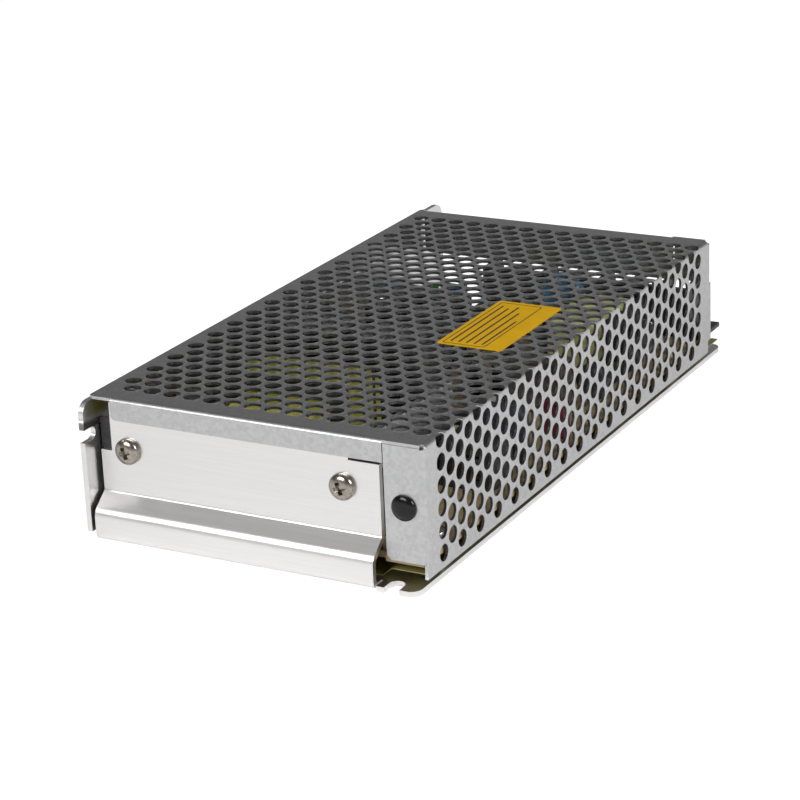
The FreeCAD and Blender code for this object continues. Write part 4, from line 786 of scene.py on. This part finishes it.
def cross_cutter(base, axis, width, reach, depth):
    """Tapered cross recess: two wedges that cross on the screw's axis."""
    axis = Vector(axis).normalized()
    side = Matrix.Rotation(radians(20), 3, axis) @ across(axis)
    base = Vector(base)
    shape = Shape()
    for turn in (0, 90):
        along = Matrix.Rotation(radians(turn), 3, axis) @ side
        aside = axis.cross(along)
        shape.add(*loft([[tuple(base + axis * level + along * (a * long) + aside * (b * wide))
                          for a, b in ((-1, -1), (1, -1), (1, 1), (-1, 1))]
                         for level, long, wide in ((-depth, 0.35 * reach, 0.35 * width),
                                                   (0.4, reach, width / 2))]))
    return shape


def dome(radius, height, rim):
    """Profile of a pan head from its seat to the middle of its crown."""
    return [(radius - 0.15, 0.0), (radius, 0.15), (radius, rim),
            *crown(radius, rim, height - rim, 10)]


def taken(mesh):
    """A finished mesh as a shape."""
    return Shape(([tuple(vert.co / MM) for vert in mesh.vertices],
                  [list(face.vertices) for face in mesh.polygons]))


def screw(axis, head, shank, length, depth=1.3):
    """Screw at the origin with its head along the axis; head gives its profile."""
    axis = Vector(axis)
    radius, height = max(r for r, reach in head), head[-1][1]
    cutter = cross_cutter(axis * height, axis, 0.4 * radius, 0.6 * radius, depth)
    body = Shape(turned(head, 48, (0, 0, 0), axis))
    whole = taken(carved(body.mesh("head"), cutter.mesh("cutter")))
    whole.add(*turned([(shank, 0.0), (shank, length)], 24, (0, 0, 0), -axis))
    return whole


def stamped(name, whole, places, material, replaces):
    """Copies of one shape in several places, as one piece."""
    shape = Shape()
    for place in places:
        shape.stamp(whole, place)
    add_object(name, shape.mesh(name, 30.0), material, replaces)


end_wall_screw = screw((0, -1, 0), dome(3.5, 2.3, 0.7), 1.45, 9.1, 1.5)
stamped("end_wall_screw_heads", end_wall_screw,
        [(LEFT + 11.0, END_FACE, 24.0), (LEFT + 73.5, END_FACE, 24.0)], SCREW_NICKEL,
        ["end_wall_screws"])


def make_plug():
    place = (SIDE - 5.9, COVER_NEAR, 21.3)
    head = [(3.35, 0.0), (3.4, 0.25), *crown(3.4, 0.25, 1.35, 12)]
    stem = [(2.4, 0.0), (2.4, 0.9), (2.8, 0.95), (2.4, 3.0)]
    return Shape(turned(head, 48, place, (0, -1, 0)), turned(stem, 32, place, (0, 1, 0)))


add_object("domed_plug", make_plug(), BLACK_GLOSS, ["flange_plug"])


# Sticker

STICKER_EDGES = (16.0, 35.1, -26.0, 13.0)
PRINT_EDGES = (17.2, 29.7, -24.8, 11.6)
FILM_DEPTH, PRINT_TOP = 0.09, 0.115


def rounded_rectangle(x0, x1, y0, y1, radius, count=5):
    loop = []
    for cx, cy, start in ((x0 + radius, y0 + radius, 180), (x1 - radius, y0 + radius, 270),
                          (x1 - radius, y1 - radius, 0), (x0 + radius, y1 - radius, 90)):
        loop += arc(cx, cy, radius, start, start + 90, count)
    return loop


def make_sticker():
    film = Sheet(lambda u, v, depth: (u, v, TOP + FILM_DEPTH - depth), FILM_DEPTH)
    film.outline(rounded_rectangle(*STICKER_EDGES, 1.2))
    return Shape(film.solid())


def make_print():
    """Thin frame and plain bars on the sticker."""
    ink = Sheet(lambda u, v, depth: (u, v, TOP + PRINT_TOP - depth), 0.02)
    x0, x1, y0, y1 = PRINT_EDGES
    line = 0.3
    ink.outline(rounded_rectangle(x0, x1, y0, y1, 0.8),
                [rounded_rectangle(x0 + line, x1 - line, y0 + line, y1 - line, 0.5)])
    for k, stop in enumerate((0.93, 0.88, 0.93, 0.80, 0.62)):
        left, low, high = x0 + 1.5 + k * 2.3, y0 + 0.05 * (y1 - y0), y0 + stop * (y1 - y0)
        ink.outline([(left, low), (left + 0.6, low), (left + 0.6, high), (left, high)])
    return Shape(ink.solid())


add_object("sticker_film", make_sticker(), STICKER, ["top_sticker"])
add_object("sticker_bars", make_print(), PRINT)


# Screws on the board and the left wall

def turned_solids(name, node, axis, profile, material, count=32):
    """Turned bodies in the places of a node's solids; profile takes radius and length."""
    shape = Shape()
    along = [float(k == axis) for k in range(3)]
    for low, high in islands(node):
        base = [(low[k] + high[k]) / 2 if k != axis else low[k] for k in range(3)]
        radius = min(high[k] - low[k] for k in range(3) if k != axis) / 2
        shape.add(*turned(profile(radius, high[axis] - low[axis]), count, base, along))
    add_object(name, shape, material, [node])


stamped("terminal_screw_heads", screw((0, 0, 1), dome(3.05, 2.0, 0.8), 1.65, 4.3),
        [middle(low, high, z=high[2] - 2.0) for low, high in islands("terminal_screws")],
        NICKEL, ["terminal_screws"])
stamped("board_screw_heads", screw((0, 0, 1), dome(2.7, 1.9, 0.5), 1.4, 4.9),
        [middle(low, high, z=high[2] - 1.9) for low, high in islands("board_screws")],
        NICKEL, ["board_screws"])
flush_head = [(1.45, -1.3), (2.6, -0.15), (2.65, 0.0)]
stamped("cover_screw_heads", screw((-1, 0, 0), flush_head, 1.4, 4.9, 1.1),
        [middle(low, high, x=LEFT) for low, high in islands("cover_screws")],
        STEEL, ["cover_screws"])


# Wound parts

def coil(low, high, inset, radius, bulge, steps=8):
    """Taped winding about X, inside the box of its solid."""
    loops = []
    for k in range(steps + 1):
        gap = inset + bulge * (1.0 - sin(pi * k / steps))
        x = low[0] + (high[0] - low[0]) * k / steps
        loops.append([(x, y, z) for y, z in rounded_rectangle(
            low[1] + gap, high[1] - gap, low[2] + gap, high[2] - gap, radius)])
    return loft(loops)


def part_of(low, high, start, stop):
    """The slice of a box from start to stop along X."""
    return (low[0] + start, *low[1:]), (low[0] + stop, *high[1:])


def wound(name, node, material, inset, radius, bulge=0.3, flange=0.0):
    """Taped coils in the places of a node's solids, between flanges if they have any."""
    tape, rims = Shape(), Shape()
    for low, high in islands(node):
        length = high[0] - low[0]
        tape.add(*coil(*part_of(low, high, flange, length - flange), inset, radius, bulge))
        for start in (0.0, length - flange):
            rims.add(*coil(*part_of(low, high, start, start + flange), 0.0, 1.0, 0.0, 1))
    add_object(name, tape, material, [node])
    if flange:
        add_object(name + "_flanges", rims, EPOXY)


wound("transformer_windings", "transformer_coil", YELLOW_TAPE, 0.0, 3.2, 0.5)
wound("driver_winding", "driver_coil", SLEEVE, 0.0, 1.4)
wound("choke_windings", "choke_coils", GREEN_TAPE, 0.4, 2.6, 0.3, 1.1)

# tape round the transformer's core
(low, high), = islands("transformer_core")
belt = []
for y, gap in ((high[1] - 2.2, 0.0), (low[1] + 2.2, 0.0), (low[1] + 2.2, 0.12),
               (high[1] - 2.2, 0.12)):
    belt.append([(x, y, z) for x, z in rounded_rectangle(low[0] - gap, high[0] + gap, low[2] - gap,
                                                         high[2] + gap, 0.7)])
add_object("transformer_belt", Shape(loft(belt, ring=True)), YELLOW_TAPE)

# toroidal inductor
(low, high), = islands("output_inductor")
centre = Vector(middle(low, high))
wire, eye = 0.5, 4.2
outer, half_high = (high[0] - low[0]) / 2 - wire, (high[2] - low[2]) / 2 - wire
ring, half_wide = (outer + eye + wire) / 2, (outer - eye - wire) / 2
turns, steps = 26, 16


def squared(value):
    return copysign(abs(value) ** 0.55, value)


path = []
for k in range(turns * steps):
    around, over = 2 * pi * k / (turns * steps), 2 * pi * k / steps
    reach = ring + half_wide * squared(cos(over))
    path.append(centre + Vector((reach * cos(around), reach * sin(around),
                                 half_high * squared(sin(over)))))
add_object("inductor_winding", Shape(tube(path, wire, 6, True)), COPPER,
           ["output_inductor"])
inner, over = eye + 2 * wire + 0.2, half_high - wire - 0.2
core = [(inner, -over), (outer - 0.8, -over), (outer - 0.5, 0.3 - over), (outer - 0.5, over - 0.3),
        (outer - 0.8, over), (inner, over)]
add_object("inductor_core", Shape(turned(core, 48, centre, (0, 0, 1), True)), YELLOW_TAPE)


# Capacitors and other parts on the board

def can_profile(radius, height):
    return [(radius - 0.5, 0.0), (radius, 0.5), (radius, 1.4), (radius - 0.45, 1.9),
            (radius - 0.45, 2.3), (radius, 2.8), (radius, height - 1.0),
            (radius - 0.25, height - 0.35), (radius - 0.8, height), (radius - 1.3, height - 0.15)]


def small_can_profile(radius, height):
    return [(radius - 0.3, 0.0), (radius, 0.3), (radius, height - 0.5),
            (radius - 0.4, height), (radius - 0.7, height - 0.1)]


def vented_top(radius):
    """Bare aluminium disc with a pressed cross."""
    disc = Shape(turned([(radius, -0.35), (radius, -0.05), (radius - 0.15, 0.0)], 40,
                        (0, 0, 0), (0, 0, 1)))
    reach, half = 0.72 * radius, 0.22
    cutter = Shape(block(-reach, reach, -half, half, -0.14, 0.2),
                   block(-half, half, -reach, reach, -0.14, 0.2))
    return taken(carved(disc.mesh("disc"), cutter.mesh("grooves")))


tops, stripes = Shape(), Shape()
for node, profile, rim in (("bulk_capacitor_1", can_profile, 1.5),
                           ("bulk_capacitor_2", can_profile, 1.5),
                           ("output_capacitors", can_profile, 1.2),
                           ("small_capacitors", small_can_profile, 0.6)):
    turned_solids(node.replace("capacitor", "can"), node, 2, profile, SLEEVE, 48)
    for low, high in islands(node):
        radius = min(high[0] - low[0], high[1] - low[1]) / 2
        x, y, top = middle(low, high, z=high[2])
        tops.stamp(vented_top(radius - rim), (x, y, top - 0.02))
        edge = arc(x, y, radius + 0.02, -20, 25, 8)
        patch = [(px, py, z) for z in (low[2] + 3.4, high[2] - 1.2) for px, py in edge]
        stripes.add(patch, [[k, k + 1, k + 10, k + 9] for k in range(8)])
add_object("can_tops", tops, CAN_TOP)
add_object("can_stripes", stripes, STRIPE)


def dipped_disc(name, node, material):
    """Dipped disc on two wires, its faces along Y."""
    (low, high), = islands(node)
    radius, thickness = (high[0] - low[0]) / 2, high[1] - low[1]
    x, y, z = middle(low, high, z=high[2] - radius)
    edge = 0.42 * thickness
    profile = [(0.3 * radius, 0.0),
               *((radius - edge + edge * cos(a), thickness / 2 * (1 + 0.94 * sin(a)))
                 for a in (pi * (k / 8 - 0.5) for k in range(9))),
               (0.3 * radius, thickness)]
    shape = Shape(turned(profile, 48, (x, low[1], z), (0, 1, 0)))
    add_object(name, shape, material, [node])
    for side in (-0.5, 0.5):
        foot = (x + side * radius, y, low[2])
        wires.add(*tube([foot, (foot[0], y, z)], 0.35, 8))


wires = Shape()
dipped_disc("varistor_disc", "varistor", BLUE_EPOXY)
dipped_disc("safety_disc", "safety_capacitor", BLUE_EPOXY)
dipped_disc("thermistor_disc", "thermistor", GREY_EPOXY)


def lens_profile(radius, height):
    return [(radius, height - 5.2), (radius, height - 4.4), (1.5, height - 4.35),
            *crown(1.5, height - 1.5, 1.5, 8, 0)]


turned_solids("lamp_lens", "indicator_lamp", 2, lens_profile, GREEN_LENS)
(low, high), = islands("indicator_lamp")
for side in (-0.9, 0.9):
    x, y, z = middle(low, high)
    wires.add(*tube([(x + side, y, low[2]), (x + side, y, z)], 0.3, 8))

RESISTOR = [(0.3, 0.0), (1.45, 0.3), (1.7, 0.9), (1.7, 1.8), (1.45, 2.4), (1.45, 6.6), (1.7, 7.2),
            (1.7, 8.1), (1.45, 8.7), (0.3, 9.0)]
bodies, bands = Shape(), Shape()
for low, high in islands("resistors"):
    x, y, z = middle(low, high, z=high[2] - 1.7)
    bodies.add(*turned(RESISTOR, 24, (x - 4.5, y, z), (1, 0, 0)))
    for start in (3.0, 4.3, 5.6):
        bands.add(*turned([(1.4, 0.0), (1.48, 0.02), (1.48, 0.6), (1.4, 0.62)], 24,
                          (x - 4.5 + start, y, z), (1, 0, 0)))
    ends = (low[0] + 0.35, high[0] - 0.35)
    wires.add(*tube([(ends[0], y, low[2]), (ends[0], y, z - 0.8), (ends[0] + 0.8, y, z),
                     (ends[1] - 0.8, y, z), (ends[1], y, z - 0.8), (ends[1], y, low[2])], 0.33, 8))
add_object("resistor_bodies", bodies, RESISTOR_BODY, ["resistors"])
add_object("resistor_bands", bands, BAND)
add_object("part_wires", wires, STEEL)

# fuse
turned_solids("fuse_end_caps", "fuse_caps", 1,
              lambda radius, length: [(radius - 0.3, 0.0), (radius, 0.3), (radius, length - 0.3),
                                      (radius - 0.3, length)], NICKEL)
turned_solids("fuse_tube", "fuse_glass", 1,
              lambda radius, length: [(radius, 0.0), (radius, length)], GLASS)
(low, high), = islands("fuse_glass")
x, y, z = middle(low, high)
add_object("fuse_wire", Shape(tube([(x, low[1], z), (x + 0.3, y, z - 0.4), (x, high[1], z)], 0.12)),
           NICKEL)

# output trimmer
softened("trimmer_body", "trimmer_case", 0.25, TRIMMER_BLUE)
(low, high), = islands("trimmer_rotor")
x, y, z = middle(low, high, y=high[1])
rotor = Shape(turned([(2.0, -2.6), (2.1, -2.5), (2.1, -0.2), (1.9, 0.0)], 40, (x, y, z), (0, 1, 0)))
slots = Shape(block(x - 1.6, x + 1.6, y - 0.7, y + 0.5, z - 0.35, z + 0.35),
              block(x - 0.35, x + 0.35, y - 0.7, y + 0.5, z - 1.6, z + 1.6))
add_object("trimmer_screw", carved(rotor.mesh("rotor"), slots.mesh("slots")), TRIMMER_WHITE,
           ["trimmer_rotor"], "trimmer")

for node, name, width, material, slot in (
        ("terminal_block", "terminal_body", 0.25, BLACK_MATT, "terminal_black"),
        ("terminal_plates", "terminal_strips", 0.15, NICKEL, "cap_nickel"),
        ("terminal_washers", "square_washers", 0.15, NICKEL, "cap_nickel"),
        ("transformer_core", "transformer_ferrite", 0.5, FERRITE, "ferrite"),
        ("driver_core", "driver_ferrite", 0.4, FERRITE, "ferrite"),
        ("choke_core", "choke_ferrite", 0.5, FERRITE, "ferrite"),
        ("bridge_rectifier", "bridge_body", 0.3, GREY_EPOXY, "black_epoxy"),
        ("film_capacitor", "film_block", 0.8, RED_EPOXY, "red_epoxy"),
        ("mains_capacitor", "mains_block", 0.6, GREY_CASE, "dark_sleeve"),
        ("output_heatsink", "heatsink_plate", 0.3, ALUMINIUM, "heatsink_aluminium"),
        ("output_rectifier", "rectifier_body", 0.2, EPOXY, "black_epoxy"),
        ("wall_transistor", "transistor_body", 0.2, EPOXY, "black_epoxy"),
        ("switching_transistor_1", "switch_body_1", 0.2, EPOXY, "black_epoxy"),
        ("switching_transistor_2", "switch_body_2", 0.2, EPOXY, "black_epoxy"),
        ("control_chip", "chip_body", 0.12, EPOXY, "black_epoxy"),
        ("optocoupler", "coupler_body", 0.12, WHITE_EPOXY, "white_epoxy")):
    softened(node, name, width, material)

FINISHES = {
    "insulation_film": FILM, "circuit_board": BOARD, "standoffs": STEEL, "wall_pads": PAD,
    "clamp_nuts": STEEL, "side_pad": PAD, "clamp_bar": STEEL, "clamp_screw": NICKEL,
    "transformer_bobbin": EPOXY, "fuse_clips": STEEL,
}
for node, material in FINISHES.items():
    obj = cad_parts[node]
    if not obj.material_slots:
        obj.data.materials.append(material)
    for place in obj.material_slots:
        place.material = material


# Floor, light and camera

FLOOR = (-6000, 6000, -6000, 6000)
FLOOR_OPENING = (-47.5, 46.7, -94.3, 94.3)
FLOOR_GLOW = 0.75
MIRRORED_GLOW = 0.33
AMBIENT = 0.10
BACKDROP, ROOM = 0.90, 0.145       # what metal mirrors near the horizon and above it
WHITE = (1.0, 1.0, 1.0, 1.0)


def direct_rays(path, tree):
    """Rays that see the surroundings themselves, also through glass."""
    return maths(tree, "MAXIMUM", path["Is Camera Ray"], path["Is Transmission Ray"])


def make_floor():
    """Pale floor, open under the part, whose base lies in its plane."""
    mesh = bpy.data.meshes.new("floor")
    loops = []
    for x0, x1, y0, y1 in (FLOOR, FLOOR_OPENING):
        loops += [(x * MM, y * MM, 0) for x, y in ((x0, y0), (x1, y0), (x1, y1), (x0, y1))]
    mesh.from_pydata(loops, [], [[k, (k + 1) % 4, (k + 1) % 4 + 4, k + 4] for k in range(4)])
    floor = placed("floor", mesh)
    material, tree, sockets = new_material("pale floor")
    fill(tree, sockets, {"Base Color": (0.80, 0.80, 0.80, 1.0), "Roughness": 0.9})
    path = shader(tree, "LightPath")
    full = maths(tree, "MULTIPLY", direct_rays(path, tree), FLOOR_GLOW)
    mirrored = maths(tree, "MULTIPLY", path["Is Glossy Ray"], MIRRORED_GLOW)
    strength = maths(tree, "ADD", full, mirrored)
    glow = shader(tree, "Emission", {"Color": WHITE, "Strength": strength})
    total = shader(tree, "AddShader", {0: tree.nodes["Principled BSDF"].outputs[0], 1: glow[0]})
    fill(tree, tree.nodes["Material Output"].inputs, {"Surface": total[0]})
    mesh.materials.append(material)


make_floor()


def make_world():
    """White to direct rays, an even dim light to the rest, and a backdrop in what is mirrored."""
    world = bpy.data.worlds.new("studio")
    scene.world = world
    world.use_nodes = True
    tree = world.node_tree
    path = shader(tree, "LightPath")
    split = shader(tree, "SeparateXYZ", {0: shader(tree, "TexCoord")["Generated"]})
    sweep = shader(tree, "MapRange", {"Value": split["Z"], "From Min": 0.02, "From Max": 0.20,
                                      "To Min": BACKDROP, "To Max": ROOM})
    gloss = shader(tree, "Mix", {"Factor": path["Is Glossy Ray"], "A": AMBIENT,
                                 "B": sweep["Result"]}, data_type="FLOAT")
    seen = shader(tree, "Mix", {"Factor": direct_rays(path, tree), "A": gloss["Result"],
                                "B": 1.0}, data_type="FLOAT")
    fill(tree, tree.nodes["Background"].inputs, {"Color": WHITE, "Strength": seen["Result"]})


make_world()


for name, place, target, width, height, power in (
        ("front light", (-0.35, -1.05, 0.75), (0.0, -0.05, 0.02), 0.7, 0.5, 8.0),
        ("side light", (1.05, -0.2, 0.7), (0.04, 0.0, 0.02), 0.6, 0.5, 10.0),
        ("roll light", (-0.65, -0.30, 1.25), (0.0, -0.1, 0.0), 0.6, 0.6, 0.35)):
    light = bpy.data.lights.new(name, "AREA")
    light.shape = "RECTANGLE"
    light.size, light.size_y, light.energy = width, height, power
    obj = placed(name, light)
    obj.location = place
    aim = Vector(target) - Vector(place)
    obj.rotation_euler = aim.to_track_quat("-Z", "Y").to_euler()

optics = bpy.data.cameras.new("camera")
optics.sensor_width = 36.0
optics.lens = 117.407
optics.clip_start = 0.01
optics.clip_end = 60.0
camera = placed("camera", optics)
RIGHTWARD = Vector((0.88196502, 0.46967062, -0.03933472))
UPWARD = Vector((-0.12780611, 0.31865786, 0.93921391))
FORWARD = Vector((-0.4536555, 0.82332659, -0.34107186))
STAND = Vector((0.32303, -0.60410, 0.25987))
turn = Matrix((RIGHTWARD, UPWARD, -FORWARD)).transposed()
camera.matrix_world = Matrix.Translation(STAND) @ turn.to_4x4()
scene.camera = camera

scene.view_settings.view_transform = "Standard"
